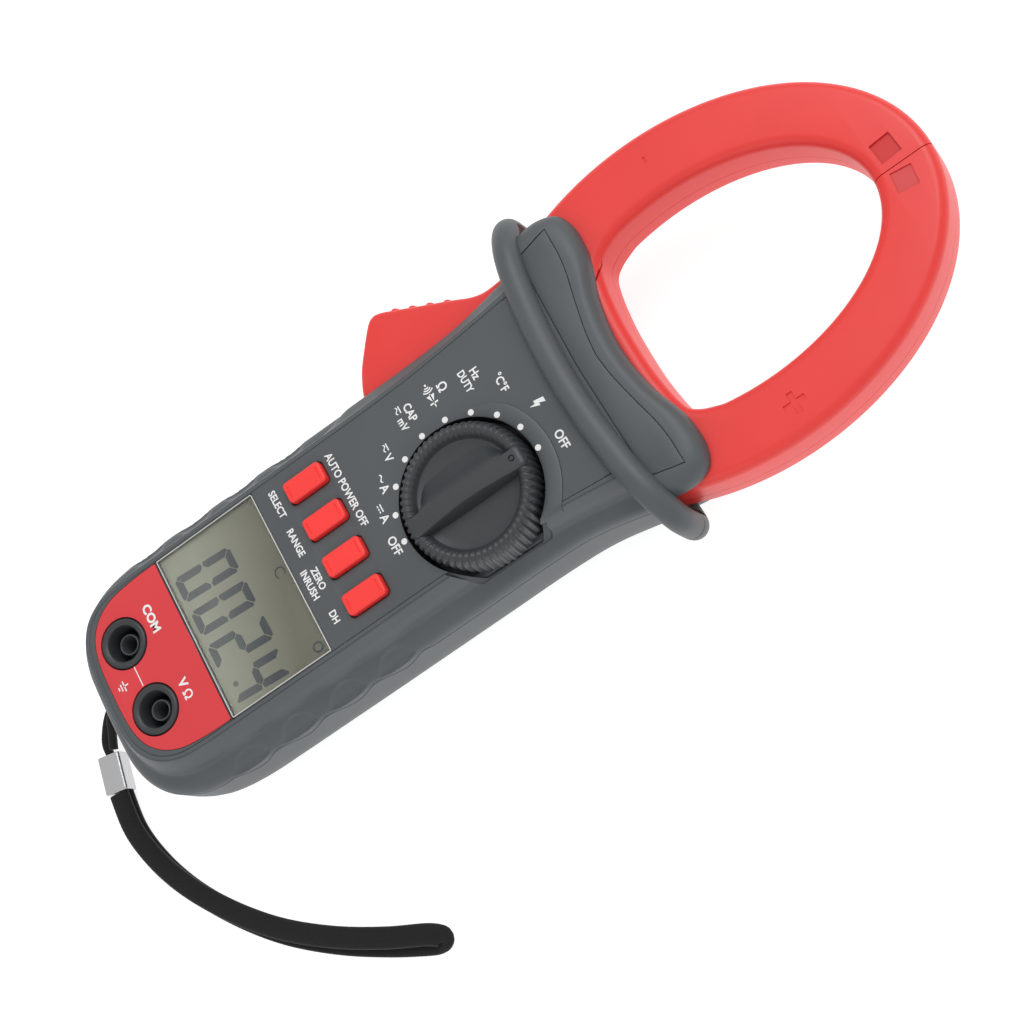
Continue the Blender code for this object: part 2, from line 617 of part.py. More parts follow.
def jaw_band(shrink, tip_x, moving, foot_y):
    """The ring between the two ellipses on one side of the tip split, shrunk inside its walls."""
    outer = (OUTER_RADII[0] - shrink, OUTER_RADII[1] - shrink)
    inner = (INNER_RADII[0] + shrink, INNER_RADII[1] + shrink)
    outer_tip = ellipse_angle(OUTER_CENTRE, outer, tip_x)
    inner_tip = ellipse_angle(INNER_CENTRE, inner, tip_x)
    outer_foot = angle_at_height(OUTER_CENTRE, outer, foot_y)
    inner_foot = angle_at_height(INNER_CENTRE, inner, foot_y)
    if moving:
        outer_foot, inner_foot = 180 - outer_foot, 180 - inner_foot
    return (arc(OUTER_CENTRE, outer, outer_tip, outer_foot, 26),
            arc(INNER_CENTRE, inner, inner_foot, inner_tip, 22))


def base_left():
    """Where the moving and the fixed jaw part, at the aperture's lower left corner."""
    return (-20.2, 44.4)


def hub_arc(radius, start, end, count=10):
    return arc(PIVOT, (radius, radius), start, end, count)


def hub_angle():
    x, y = base_left()
    return math.degrees(math.atan2(y - PIVOT[1], x - PIVOT[0]))


def trigger_outline():
    """The lever below the pivot: ribbed outer edge, rounded tip and the part inside the case."""
    ribs = []
    top, tip = Vector((-37.2, 9.8)), Vector((-46.0, -7.4))
    along = (tip - top).normalized()
    out = Vector((along.y, -along.x))
    for index in range(4):
        middle = top + along * (1.6 + 4.85 * index)
        for step, rise in ((-0.9, 0.0), (-0.5, 0.75), (0.5, 0.75), (0.9, 0.0)):
            ribs.append(tuple(middle + along * step + out * rise))
    edge = smooth([(-33.9, 24.0), (-33.5, 18.0), (-34.7, 14.0), tuple(top)], 3) + ribs
    tip_round = [(-46.2, -8.4), (-46.5, -9.8), (-46.0, -11.3), (-43.6, -13.8), (-36.6, -19.2), (-31.0, -22.0)]
    inside = [(-29.0, -22.6), (-27.6, -21.0), (-26.6, -12.0), (-25.0, 2.0), (-22.5, 11.0), (-19.0, 18.0)]
    return edge + tip_round + inside


def moving_outline():
    outer, _ = jaw_band(0.0, TIP_SPLIT - 0.15, True, 36.0)
    inner = arc(INNER_CENTRE, INNER_RADII, 180 - angle_at_height(INNER_CENTRE, INNER_RADII, 50.5),
                ellipse_angle(INNER_CENTRE, INNER_RADII, TIP_SPLIT - 0.15), 22)
    heel = [(-36.4, 31.6), (-35.6, 28.5), (-34.4, 24.0), (-32.5, 21.0), (-26.0, 17.0)]
    hub = hub_arc(HUB_RADIUS, -38.0, hub_angle(), 9)
    corner = [base_left(), (-22.8, 46.6)]
    return outer + heel + hub + corner + inner


def fixed_outline():
    outer, _ = jaw_band(0.0, TIP_SPLIT + 0.15, False, 36.0)
    inner = arc(INNER_CENTRE, INNER_RADII, angle_at_height(INNER_CENTRE, INNER_RADII, 50.5),
                ellipse_angle(INNER_CENTRE, INNER_RADII, TIP_SPLIT + 0.15), 22)
    foot = [(36.9, 31.6), (35.6, 27.5), (34.0, 23.0), (30.0, 20.6)]
    start = PIVOT[0] + math.sqrt((HUB_RADIUS + 0.5) ** 2 - (20.6 - PIVOT[1]) ** 2)
    first_angle = math.degrees(math.atan2(20.6 - PIVOT[1], start - PIVOT[0]))
    hub = hub_arc(HUB_RADIUS + 0.5, first_angle, hub_angle() + 0.4, 9)
    base = smooth([(-19.4, 44.6), (-10.0, 43.3), (0.0, 42.9), (10.0, 43.3), (19.2, 44.9), (22.3, 47.0)], 3)
    return outer + foot + hub + base + inner


def core_lines():
    """The moving and the fixed laminated core, as outlines."""
    outer, inner = jaw_band(CORE_COVER, TIP_SPLIT - 0.6, True, 47.0)
    moving = outer + [(-34.6, 41.0), (-27.6, 41.0)] + inner
    outer, inner = jaw_band(CORE_COVER, TIP_SPLIT + 0.6, False, 47.0)
    fixed = outer + [(34.8, 38.0), (31.6, 28.8), (4.0, 28.8), (4.0, 37.6), (24.5, 37.6), (27.4, 41.0)] + inner
    return moving, fixed


def spread(outline, amount):
    """The outline moved outwards, whichever way round it runs."""
    turn = sum(a[0] * b[1] - b[0] * a[1] for a, b in zip(outline, outline[1:] + outline[:1]))
    return inset(outline, -amount if turn > 0 else amount)


def jaws():
    moving_core, fixed_core = core_lines()
    room = CORE_FRONT + GAP, CORE_REAR - GAP
    moving_room = plate("moving_core_room", spread(moving_core, GAP), room[1], room[0], helper=True)
    fixed_room = plate("fixed_core_room", spread(fixed_core, GAP), room[1], room[0], helper=True)
    base_room = box("base_core_room", (-9.8, 28.5, room[1]), (3.9, 37.9, room[0]), helper=True)
    pin_hole = rod("pin_hole", PIVOT, PIN_RADIUS + 0.3, 0, 60, helper=True, count=24)
    trigger_front = plate("trigger_front", trigger_outline(), SEAM + GAP / 2, TRIGGER_FRONT, helper=True)
    trigger_rear = plate("trigger_rear", trigger_outline(), TRIGGER_REAR, SEAM - GAP / 2, helper=True)
    moving, fixed = moving_outline(), fixed_outline()
    halves = (
        ("moving_jaw_front", moving, SEAM + GAP / 2, JAW_FRONT, moving_room, trigger_front),
        ("moving_jaw_rear", moving, JAW_REAR, SEAM - GAP / 2, moving_room, trigger_rear),
        ("fixed_jaw_front", fixed, SEAM + GAP / 2, JAW_FRONT, fixed_room, None),
        ("fixed_jaw_rear", fixed, JAW_REAR, SEAM - GAP / 2, fixed_room, None),
    )
    for name, outline, low, high, channel, trigger in halves:
        half = plate(name, outline, low, high, RED)
        if trigger:
            join(half, trigger)
            cut(half, channel, pin_hole)
        else:
            cut(half, channel, base_room)
    plate("moving_core", moving_core, CORE_REAR, CORE_FRONT, IRON)
    plate("fixed_core", fixed_core, CORE_REAR, CORE_FRONT, IRON)
    box("base_core", (-9.5, 28.8, CORE_REAR), (-0.6, 37.6, CORE_FRONT), IRON)
    box("hall_sensor", (0.0, 29.6, CORE_REAR + 1.0), (3.4, 36.8, CORE_FRONT - 1.0), BLACK)
    rod("pivot_pin", PIVOT, PIN_RADIUS, 3.0, JAW_FRONT - 0.2, STEEL, 24)


def jaw_spring():
    """The torsion spring round the pin that closes the jaw."""
    turns, per_turn, radius, low, pitch = 6, 14, 2.85, 5.4, 1.6
    route = []
    for step in range(turns * per_turn + 1):
        angle = 2 * math.pi * step / per_turn
        route.append((PIVOT[0] + radius * math.cos(angle), PIVOT[1] + radius * math.sin(angle),
                      low + pitch * step / per_turn))
    tube("jaw_spring", route, 0.4, STEEL, 1)


# ---------------------------------------------------------------- wrist strap

def strap():
    """A bar in the case's end, a thin loop round it, a crimp, and a flat band that doubles back."""
    rod_x("strap_bar", (LUG[1], LUG[2]), 1.2, LUG[0] - 7.1, LUG[0] + 7.1, STEEL)
    tube("strap_loop", smooth(loop_route(), 2), LOOP_RADIUS, STRAP)
    along = (Vector(CRIMP_END) - Vector(CRIMP_START)).normalized()
    across = Vector((-along.y, along.x))
    outline = []
    for place, side in ((CRIMP_START, -1), (CRIMP_END, -1), (CRIMP_END, 1), (CRIMP_START, 1)):
        outline.append(tuple(Vector(place) + across * side * 3.5))
    plate("strap_crimp", outline, 0.0, 5.4, STEEL)
    tube("strap_band", smooth(band_route(), 3), 1.25, STRAP)


def loop_route():
    """Out of the crimp, over the bar in the case's end, and back; both ends meet the crimp."""
    x, y, z = LUG
    start = Vector(CRIMP_START) - (Vector(CRIMP_END) - Vector(CRIMP_START)).normalized() * 0.8
    out = [(start.x, start.y + 1.6, 3.9), (start.x - 4.0, start.y + 3.4, 4.2), (x + 3.6, -134.5, 5.2),
           (x + 1.4, -128.5, 7.0), (x + 1.2, -123.4, 8.3), (x + 0.9, y, z + 2.9)]
    back = [(x + 0.3, y + 2.6, z + 1.2), (x - 0.4, y + 2.7, z - 1.2), (x - 1.2, y, z - 3.0),
            (x - 1.6, -124.0, 1.9), (x - 1.2, -130.0, 1.5), (x + 1.2, -136.4, 1.5), (start.x - 4.4, start.y - 0.6, 1.5),
            (start.x, start.y - 1.2, 1.5)]
    return out + back


def band_route():
    """The upper strand out to the far end, the fold, and the lower strand back under it."""
    upper = [(x, y, 3.95) for x, y in STRAP_ROUTE]
    lower = []
    for index, (x, y) in enumerate(STRAP_ROUTE):
        slip = 2.4 * (index / (len(STRAP_ROUTE) - 1)) ** 1.5
        lower.append((x + 0.88 * slip, y - 0.48 * slip, 3.95 - STRAND_PITCH))
    end = Vector(STRAP_ROUTE[-1])
    fold = [(end.x + 2.1, end.y + 3.1, 3.5), (end.x + 3.0, end.y + 3.4, 2.6), (end.x + 3.2, end.y + 2.0, 1.7)]
    return upper + fold + lower[::-1]


def build():
    front_grip()
    shoulder_panel()
    front_case()
    rear_case()
    battery_group()
    for index, place in enumerate(SCREWS):
        screw(f"case_screw_{index + 1}", place, 10.0, SEAM + 5.5)
    keys()
    display()
    terminal_block()
    selector()
    electronics()
    jaws()
    jaw_spring()
    strap()


build()
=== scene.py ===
"""Looks for the clamp meter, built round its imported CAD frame. Lengths in the code are in millimetres."""

import math

import bmesh
import bpy
from mathutils import Matrix, Vector


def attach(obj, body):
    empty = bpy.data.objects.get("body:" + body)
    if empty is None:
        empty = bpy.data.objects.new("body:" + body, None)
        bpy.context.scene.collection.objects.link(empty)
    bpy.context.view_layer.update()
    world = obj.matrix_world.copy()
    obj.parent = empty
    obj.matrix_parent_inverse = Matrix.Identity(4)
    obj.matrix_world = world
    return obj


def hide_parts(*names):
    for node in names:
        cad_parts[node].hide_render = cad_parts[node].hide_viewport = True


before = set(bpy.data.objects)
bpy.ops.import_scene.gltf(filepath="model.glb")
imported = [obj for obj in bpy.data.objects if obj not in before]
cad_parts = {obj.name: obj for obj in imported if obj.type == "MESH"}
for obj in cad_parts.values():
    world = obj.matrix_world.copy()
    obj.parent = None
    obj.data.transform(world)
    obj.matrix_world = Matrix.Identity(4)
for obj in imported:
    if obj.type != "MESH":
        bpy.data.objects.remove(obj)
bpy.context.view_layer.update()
MM = 0.001

# Levels and lines that the CAD fixes
PANEL, SEAM, COVER_TOP = 38.0, 24.0, 38.9
JAW_FRONT, JAW_REAR = 33.6, 17.1
TRIGGER_FRONT, TRIGGER_REAR = 32.0, 19.0
DIAL, WELL_FLOOR = (10.7, -8.65), 30.4
WELL_RADIUS = 19.0
PIVOT, HUB_RADIUS = (-32.0, 29.0), 19.5
OUTER_CENTRE, OUTER_RADII = (0.0, 63.9), (43.5, 60.9)
INNER_CENTRE, INNER_RADII = (0.0, 65.5), (26.4, 43.8)
TIP_SPLIT = 2.0
WINDOW = (-23.0, 23.0, -88.75, -58.05)
LABEL_TOP = -89.3
JACKS = {"com": (-9.9, -106.4), "volt": (9.5, -106.4)}
GUARD_MID, GUARD_BOW, GUARD_REACH, GUARD_RADIUS = 25.0, 0.003, 46.3, 3.4
DIMPLES = (-94.5, -79.2, -63.9, -48.6)
DIMPLE_PITCH = 15.3
SCREWS = ((-19.0, -96.5), (19.0, -96.5), (-19.0, -33.6), (19.0, -33.6))
KEY_PITCH, KEY_Y, KEY_HALF = 11.0, -43.6, (2.9, 5.6)
KEY_MARK = 4.35
WORLD_LIGHT, FLOOR_LIGHT = 0.66, 0.80


# ---------------------------------------------------------------- points

def smooth(points, steps=6):
    """A curve through every given point; each point may have any number of coordinates."""
    ends = [points[0]] + list(points) + [points[-1]]
    curve = []
    for a, b, c, d in zip(ends, ends[1:], ends[2:], ends[3:]):
        for step in range(steps):
            t = step / steps
            curve.append(tuple(
                0.5 * (2 * q + (r - p) * t + (2 * p - 5 * q + 4 * r - s) * t * t
                       + (3 * q - p - 3 * r + s) * t ** 3)
                for p, q, r, s in zip(a, b, c, d)
            ))
    return curve + [tuple(points[-1])]


def mirrored(right):
    return list(right) + [(-x, *rest) for x, *rest in reversed(right) if x > 1e-6]


def arc(centre, radii, start, end, count):
    found = []
    for step in range(count + 1):
        angle = math.radians(start + (end - start) * step / count)
        found.append((centre[0] + radii[0] * math.cos(angle), centre[1] + radii[1] * math.sin(angle)))
    return found


def circle(centre, radius, count=64):
    return arc(centre, (radius, radius), 0, 360 - 360 / count, count - 1)


def rounded(low_x, high_x, low_y, high_y, radius, count=6):
    outline = []
    for x, y, start in ((high_x, low_y, -90), (high_x, high_y, 0), (low_x, high_y, 90), (low_x, low_y, 180)):
        centre = (x - math.copysign(radius, x - (low_x + high_x) / 2),
                  y - math.copysign(radius, y - (low_y + high_y) / 2))
        outline += arc(centre, (radius, radius), start, start + 90, count)
    return outline


def inset(outline, amount):
    """The outline moved inwards, for one that runs anticlockwise."""
    found = []
    for before, here, after in zip(outline[-1:] + outline[:-1], outline, outline[1:] + outline[:1]):
        one = (Vector(here) - Vector(before)).normalized()
        two = (Vector(after) - Vector(here)).normalized()
        normal = Vector((-one.y - two.y, one.x + two.x)).normalized()
        share = max(0.5, normal.dot(Vector((-one.y, one.x))))
        found.append((here[0] + normal.x * amount / share, here[1] + normal.y * amount / share))
    return found


def ease(low, high, value):
    t = min(1.0, max(0.0, (value - low) / (high - low)))
    return t * t * (3 - 2 * t)


# ---------------------------------------------------------------- meshes

def finish_mesh(obj, sharp=30):
    """Smooth shading, broken at edges sharper than this many degrees."""
    mesh = obj.data
    for polygon in mesh.polygons:
        polygon.use_smooth = True
    mesh.set_sharp_from_angle(angle=math.radians(sharp))


def new_object(name, mesh, look=None):
    obj = bpy.data.objects.new(name, mesh)
    bpy.context.scene.collection.objects.link(obj)
    if look:
        mesh.materials.clear()
        mesh.materials.append(look)
    return obj


def mesh_of(bm, name):
    bmesh.ops.remove_doubles(bm, verts=bm.verts, dist=1e-7)
    bmesh.ops.recalc_face_normals(bm, faces=bm.faces)
    mesh = bpy.data.meshes.new(name)
    bm.to_mesh(mesh)
    bm.free()
    return mesh


def skin(name, rings, look=None, caps=True, closed_rings=True, loop=False, sharp=30):
    """A surface through rings of equal length; caps close its first and last ring."""
    bm = bmesh.new()
    made = [[bm.verts.new(Vector(p) * MM) for p in ring] for ring in rings]
    pairs = list(zip(made, made[1:])) + ([(made[-1], made[0])] if loop else [])
    for lower, upper in pairs:
        count = len(lower)
        for i in range(count if closed_rings else count - 1):
            j = (i + 1) % count
            bm.faces.new((lower[i], lower[j], upper[j], upper[i]))
    if caps and not loop:
        bm.faces.new(reversed(made[0]))
        bm.faces.new(made[-1])
    obj = new_object(name, mesh_of(bm, name), look)
    finish_mesh(obj, sharp)
    return obj


def plate(name, outlines, low, high, look=None, bevel=0.0, segments=4, sharp=30):
    """Flat outlines made solid between two levels, holes left open, with rounded edges."""
    curve = bpy.data.curves.new(name, "CURVE")
    curve.dimensions = "2D"
    curve.fill_mode = "BOTH"
    curve.extrude = ((high - low) / 2 - bevel) * MM
    curve.bevel_depth = bevel * MM
    curve.bevel_resolution = segments
    curve.offset = -bevel * MM
    if outlines and not isinstance(outlines[0][0], (tuple, list)):
        outlines = [outlines]
    for outline in outlines:
        spline = curve.splines.new("POLY")
        spline.points.add(len(outline) - 1)
        for point, (x, y) in zip(spline.points, outline):
            point.co = (x * MM, y * MM, 0, 1)
        spline.use_cyclic_u = True
    source = bpy.data.objects.new(name + "_curve", curve)
    bpy.context.scene.collection.objects.link(source)
    bpy.context.view_layer.update()
    mesh = bpy.data.meshes.new_from_object(source.evaluated_get(bpy.context.evaluated_depsgraph_get()))
    bpy.data.objects.remove(source)
    bm = bmesh.new()
    bm.from_mesh(mesh)
    bmesh.ops.translate(bm, verts=bm.verts, vec=(0, 0, (low + high) / 2 * MM))
    bmesh.ops.remove_doubles(bm, verts=bm.verts, dist=2e-6)
    mesh = mesh_of(bm, name)
    obj = new_object(name, mesh, look)
    finish_mesh(obj, sharp)
    return obj


def block(name, low, high):
    bm = bmesh.new()
    bmesh.ops.create_cube(bm, size=1)
    bmesh.ops.scale(bm, verts=bm.verts, vec=[(b - a) * MM for a, b in zip(low, high)])
    bmesh.ops.translate(bm, verts=bm.verts, vec=[(a + b) / 2 * MM for a, b in zip(low, high)])
    return new_object(name, mesh_of(bm, name))


def rod(name, centre, radius, low, high, look=None, count=48):
    bm = bmesh.new()
    bmesh.ops.create_cone(bm, cap_ends=True, segments=count, radius1=radius * MM, radius2=radius * MM,
                          depth=(high - low) * MM)
    bmesh.ops.translate(bm, verts=bm.verts, vec=(centre[0] * MM, centre[1] * MM, (low + high) / 2 * MM))
    return new_object(name, mesh_of(bm, name), look)


def shape(obj, operation, tools, sharp=30):
    """Booleans with these tools, applied; the tools are removed."""
    for tool in tools:
        step = obj.modifiers.new(tool.name, "BOOLEAN")
        step.operation = operation
        step.object = tool
        step.solver = "EXACT"
        step.use_self = True
    bake(obj)
    for tool in tools:
        bpy.data.objects.remove(tool)
    finish_mesh(obj, sharp)
    return obj


def bake(obj):
    bpy.context.view_layer.update()
    mesh = bpy.data.meshes.new_from_object(obj.evaluated_get(bpy.context.evaluated_depsgraph_get()))
    looks = list(obj.data.materials)
    obj.modifiers.clear()
    obj.data = mesh
    if looks and not mesh.materials:
        for look in looks:
            mesh.materials.append(look)


def cut(obj, *tools, sharp=30):
    return shape(obj, "DIFFERENCE", tools, sharp)


def ride(obj, body, slot, *nodes):
    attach(obj, body)
    if nodes:
        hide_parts(*nodes)


# ---------------------------------------------------------------- materials

def shader(name, colour, roughness, metallic=0.0, specular=0.5):
    look = bpy.data.materials.new(name)
    look.use_nodes = True
    tree = look.node_tree
    bsdf = tree.nodes["Principled BSDF"]
    bsdf.inputs["Base Color"].default_value = (*colour, 1.0)
    bsdf.inputs["Roughness"].default_value = roughness
    bsdf.inputs["Metallic"].default_value = metallic
    bsdf.inputs["Specular IOR Level"].default_value = specular
    return look, tree, bsdf


def moulded(name, colour, roughness, grain=0.25, bump=0.04, tint=0.06, specular=0.5):
    """Moulded plastic: fine grain in the surface, faint colour and gloss variation."""
    look, tree, bsdf = shader(name, colour, roughness, specular=specular)
    place = tree.nodes.new("ShaderNodeTexCoord")
    broad = tree.nodes.new("ShaderNodeTexNoise")
    broad.inputs["Scale"].default_value = 45
    broad.inputs["Detail"].default_value = 3
    fine = tree.nodes.new("ShaderNodeTexNoise")
    fine.inputs["Scale"].default_value = 1000 / grain / 4
    fine.inputs["Detail"].default_value = 2
    for node in (broad, fine):
        tree.links.new(place.outputs["Object"], node.inputs["Vector"])
    ramp = tree.nodes.new("ShaderNodeValToRGB")
    ramp.color_ramp.elements[0].position = 0.3
    ramp.color_ramp.elements[1].position = 0.7
    ramp.color_ramp.elements[0].color = (*[c * (1 - tint) for c in colour], 1)
    ramp.color_ramp.elements[1].color = (*[min(1, c * (1 + tint)) for c in colour], 1)
    tree.links.new(broad.outputs["Fac"], ramp.inputs["Fac"])
    tree.links.new(ramp.outputs["Color"], bsdf.inputs["Base Color"])
    gloss = tree.nodes.new("ShaderNodeMapRange")
    gloss.inputs["To Min"].default_value = roughness - 0.06
    gloss.inputs["To Max"].default_value = roughness + 0.06
    tree.links.new(broad.outputs["Fac"], gloss.inputs["Value"])
    tree.links.new(gloss.outputs["Result"], bsdf.inputs["Roughness"])
    relief = tree.nodes.new("ShaderNodeBump")
    relief.inputs["Strength"].default_value = 0.35
    relief.inputs["Distance"].default_value = bump * MM
    tree.links.new(fine.outputs["Fac"], relief.inputs["Height"])
    tree.links.new(relief.outputs["Normal"], bsdf.inputs["Normal"])
    return look


def brushed(name, colour, roughness):
    """Metal with fine drawn lines across it."""
    look, tree, bsdf = shader(name, colour, roughness, metallic=1.0)
    place = tree.nodes.new("ShaderNodeTexCoord")
    stretch = tree.nodes.new("ShaderNodeMapping")
    stretch.inputs["Scale"].default_value = (400, 4000, 4000)
    noise = tree.nodes.new("ShaderNodeTexNoise")
    noise.inputs["Scale"].default_value = 1
    tree.links.new(place.outputs["Object"], stretch.inputs["Vector"])
    tree.links.new(stretch.outputs["Vector"], noise.inputs["Vector"])
    gloss = tree.nodes.new("ShaderNodeMapRange")
    gloss.inputs["To Min"].default_value = roughness - 0.08
    gloss.inputs["To Max"].default_value = roughness + 0.12
    tree.links.new(noise.outputs["Fac"], gloss.inputs["Value"])
    tree.links.new(gloss.outputs["Result"], bsdf.inputs["Roughness"])
    relief = tree.nodes.new("ShaderNodeBump")
    relief.inputs["Strength"].default_value = 0.2
    relief.inputs["Distance"].default_value = 0.00001
    tree.links.new(noise.outputs["Fac"], relief.inputs["Height"])
    tree.links.new(relief.outputs["Normal"], bsdf.inputs["Normal"])
    return look


def graded(name, low_colour, high_colour, low, high):
    """One colour towards the terminals and another towards the keys, as light falls across the display."""
    look, tree, bsdf = shader(name, low_colour, 0.4)
    place = tree.nodes.new("ShaderNodeTexCoord")
    split = tree.nodes.new("ShaderNodeSeparateXYZ")
    tree.links.new(place.outputs["Object"], split.inputs["Vector"])
    slope = tree.nodes.new("ShaderNodeMath")
    slope.operation = "MULTIPLY_ADD"
    slope.inputs[1].default_value = 0.22
    tree.links.new(split.outputs["X"], slope.inputs[0])
    tree.links.new(split.outputs["Y"], slope.inputs[2])
    ramp = tree.nodes.new("ShaderNodeValToRGB")
    ramp.color_ramp.elements[0].color = (*low_colour, 1)
    ramp.color_ramp.elements[1].color = (*high_colour, 1)
    spread = tree.nodes.new("ShaderNodeMapRange")
    spread.inputs["From Min"].default_value = low
    spread.inputs["From Max"].default_value = high
    tree.links.new(slope.outputs["Value"], spread.inputs["Value"])
    tree.links.new(spread.outputs["Result"], ramp.inputs["Fac"])
    tree.links.new(ramp.outputs["Color"], bsdf.inputs["Base Color"])
    return look


def window_look():
    look, _, bsdf = shader("window", (0.95, 0.96, 0.95), 0.06)
    bsdf.inputs["Transmission Weight"].default_value = 1.0
    bsdf.inputs["IOR"].default_value = 1.46
    return look


BODY = (0.082, 0.093, 0.099)
GRIP_LOOK = moulded("grip_tpr", BODY, 0.50, grain=0.3, bump=0.05)
CASE_LOOK = moulded("case_abs", (0.078, 0.088, 0.094), 0.46, grain=0.35, bump=0.03)
REAR_LOOK = moulded("rear_abs", BODY, 0.50, grain=0.35, bump=0.05)
JAW_LOOK = moulded("jaw_red", (0.80, 0.042, 0.036), 0.40, grain=0.3, bump=0.03, tint=0.03)
# Two darkened copies of the jaw red for the sunk squares' floors: painted shade of the recesses.
PAINTED_SHADE_DEEP_LOOK = moulded("mark_painted_shade_deep", (0.62, 0.022, 0.022), 0.5, grain=0.3, bump=0.03, tint=0.03)
PAINTED_SHADE_PALE_LOOK = moulded("mark_painted_shade_pale", (0.66, 0.055, 0.055), 0.5, grain=0.3, bump=0.03, tint=0.03)
KEY_LOOK = moulded("key_rubber", (0.98, 0.042, 0.036), 0.45, grain=0.25, bump=0.02, tint=0.03)
LABEL_LOOK = moulded("label_red", (0.70, 0.042, 0.050), 0.45, grain=0.4, bump=0.015, tint=0.03)
KNOB_LOOK = moulded("knob_black", (0.040, 0.045, 0.048), 0.42, grain=0.3, bump=0.04)
DARK_LOOK = moulded("jack_dark", (0.035, 0.038, 0.042), 0.45, grain=0.3, bump=0.02)
BLACK_LOOK = moulded("black_inside", (0.008, 0.008, 0.009), 0.6, grain=0.4, bump=0.02)
INK_LOOK = moulded("white_ink", (0.86, 0.86, 0.86), 0.5, grain=0.3, bump=0.01, tint=0.02)
LCD_LOOK = graded("lcd", (0.56, 0.57, 0.455), (0.245, 0.235, 0.165), -0.084, -0.062)
GLASS_LOOK = window_look()
DIGIT_LOOK = graded("digit_ink", (0.20, 0.215, 0.22), (0.05, 0.065, 0.08), -0.0815, -0.0700)
FAINT_LOOK = moulded("faint_ink", (0.26, 0.27, 0.22), 0.5, grain=0.3, bump=0.01)
WHITE_LOOK = moulded("white_plastic", (0.7, 0.7, 0.67), 0.5)
BOARD_LOOK = moulded("board_green", (0.02, 0.14, 0.06), 0.4)
STEEL_LOOK = brushed("steel", (0.62, 0.62, 0.63), 0.3)
BRASS_LOOK = brushed("brass", (0.80, 0.60, 0.28), 0.3)
IRON_LOOK = brushed("core_iron", (0.28, 0.28, 0.29), 0.5)


def strap_look():
    """Black braid: small yarns across the band, which catch the light."""
    look, tree, bsdf = shader("strap_braid", (0.006, 0.006, 0.0065), 0.85, specular=0.3)
    place = tree.nodes.new("ShaderNodeTexCoord")
    yarn = tree.nodes.new("ShaderNodeTexNoise")
    yarn.inputs["Scale"].default_value = 2600
    yarn.inputs["Detail"].default_value = 2
    tree.links.new(place.outputs["Object"], yarn.inputs["Vector"])
    ramp = tree.nodes.new("ShaderNodeValToRGB")
    ramp.color_ramp.elements[0].color = (0.004, 0.004, 0.004, 1)
    ramp.color_ramp.elements[1].color = (0.016, 0.016, 0.017, 1)
    tree.links.new(yarn.outputs["Fac"], ramp.inputs["Fac"])
    tree.links.new(ramp.outputs["Color"], bsdf.inputs["Base Color"])
    relief = tree.nodes.new("ShaderNodeBump")
    relief.inputs["Strength"].default_value = 0.5
    relief.inputs["Distance"].default_value = 0.00008
    tree.links.new(yarn.outputs["Fac"], relief.inputs["Height"])
    tree.links.new(relief.outputs["Normal"], bsdf.inputs["Normal"])
    bsdf.inputs["Sheen Weight"].default_value = 0.15
    return look


STRAP_LOOK = strap_look()


# ---------------------------------------------------------------- outlines of the case

def case_and_rim():
    """The case's outline at its seam and the grip's rim, with matching points, and the panel's outline."""
    pairs = [
        (0, -125.0, 0, -116.8), (7.5, -124.9, 5.8, -116.7), (14.5, -124.4, 11.3, -116.2),
        (21.0, -122.2, 16.0, -114.6), (26.6, -117.6, 19.9, -111.4), (30.3, -110.0, 22.4, -106.4),
        (31.8, -100.0, 23.2, -99.5), (32.0, -88.0, 23.3, -88.0), (32.0, -74.0, 23.3, -74.0),
        (32.0, -60.0, 23.3, -60.0), (31.9, -41.0, 23.3, -42.0),
        (31.8, -22.0, 23.3, -24.0), (31.6, -4.0, 23.7, -8.0), (32.1, 9.0, 24.5, 4.0),
        (34.2, 20.0, 25.3, 13.5), (37.2, 31.0, 26.0, 21.5),
    ]
    line = smooth(pairs, 20)
    case = mirrored([(x, y) for x, y, _, _ in line] + [(0, 31.0)])
    side = [(x, y) for _, _, x, y in line[:-1]]
    rim = mirrored(side + [(26.2, 27.5), (0, 27.5)])
    top = [(x, GUARD_MID - GUARD_RADIUS + 1.2 + GUARD_BOW * x * x) for x in (26.0, 20.0, 13.0, 6.0, 0.0)]
    return case, rim, mirrored([p for p in side if p[1] < 21] + top)


CASE_LINE, RIM_LINE, PANEL_LINE = case_and_rim()
SIDE_WIDTH = 8.7


def tuck(amount):
    share = amount / SIDE_WIDTH
    return [(x + (p - x) * share, y + (q - y) * share) for (x, y), (p, q) in zip(CASE_LINE, RIM_LINE)]


def seam_dip(x, y):
    """How far the seam drops towards the back beside the grip's dimples."""
    if abs(x) < 28 or y < DIMPLES[0] - 12 or y > DIMPLES[-1] + 12:
        return 0.0
    fade = ease(DIMPLES[0] - 11, DIMPLES[0] - 6, y) * (1 - ease(DIMPLES[-1] + 6, DIMPLES[-1] + 11, y))
    phase = (y - DIMPLES[0]) / DIMPLE_PITCH
    return -fade * (0.4 + 1.7 * math.cos(2 * math.pi * phase))


def thumb_press(x, y, z):
    """How far the grip's side is pressed in, for its row of oval rests."""
    deepest = 0.0
    if abs(x) > 20:
        for centre in DIMPLES:
            away = math.hypot((y - centre) / 5.7, (z - 27.0 - 0.06 * (y - centre)) / 2.2)
            if away < 1:
                deepest = max(deepest, 1.5 * (1 - away ** 2) ** 0.6)
    return deepest


# ---------------------------------------------------------------- case

def shrink(outline, amount):
    """The shoulder cover's outline made smaller, with its lower edge left under the guard."""
    return [(x * (1 - amount / 38.9), 27.0 + (y - 27.0) * (1 - amount / 18.3)) for x, y in outline]


def shoulder_outline(steps=6):
    side = smooth([
        (37.4, 27.0), (38.6, 33.0), (38.9, 38.5), (37.0, 43.2), (32.5, 45.2), (27.0, 45.3),
        (21.6, 44.3), (14.0, 41.7), (6.0, 40.2), (0, 39.8),
    ], steps)
    return mirrored([(0, 27.0)] + side)


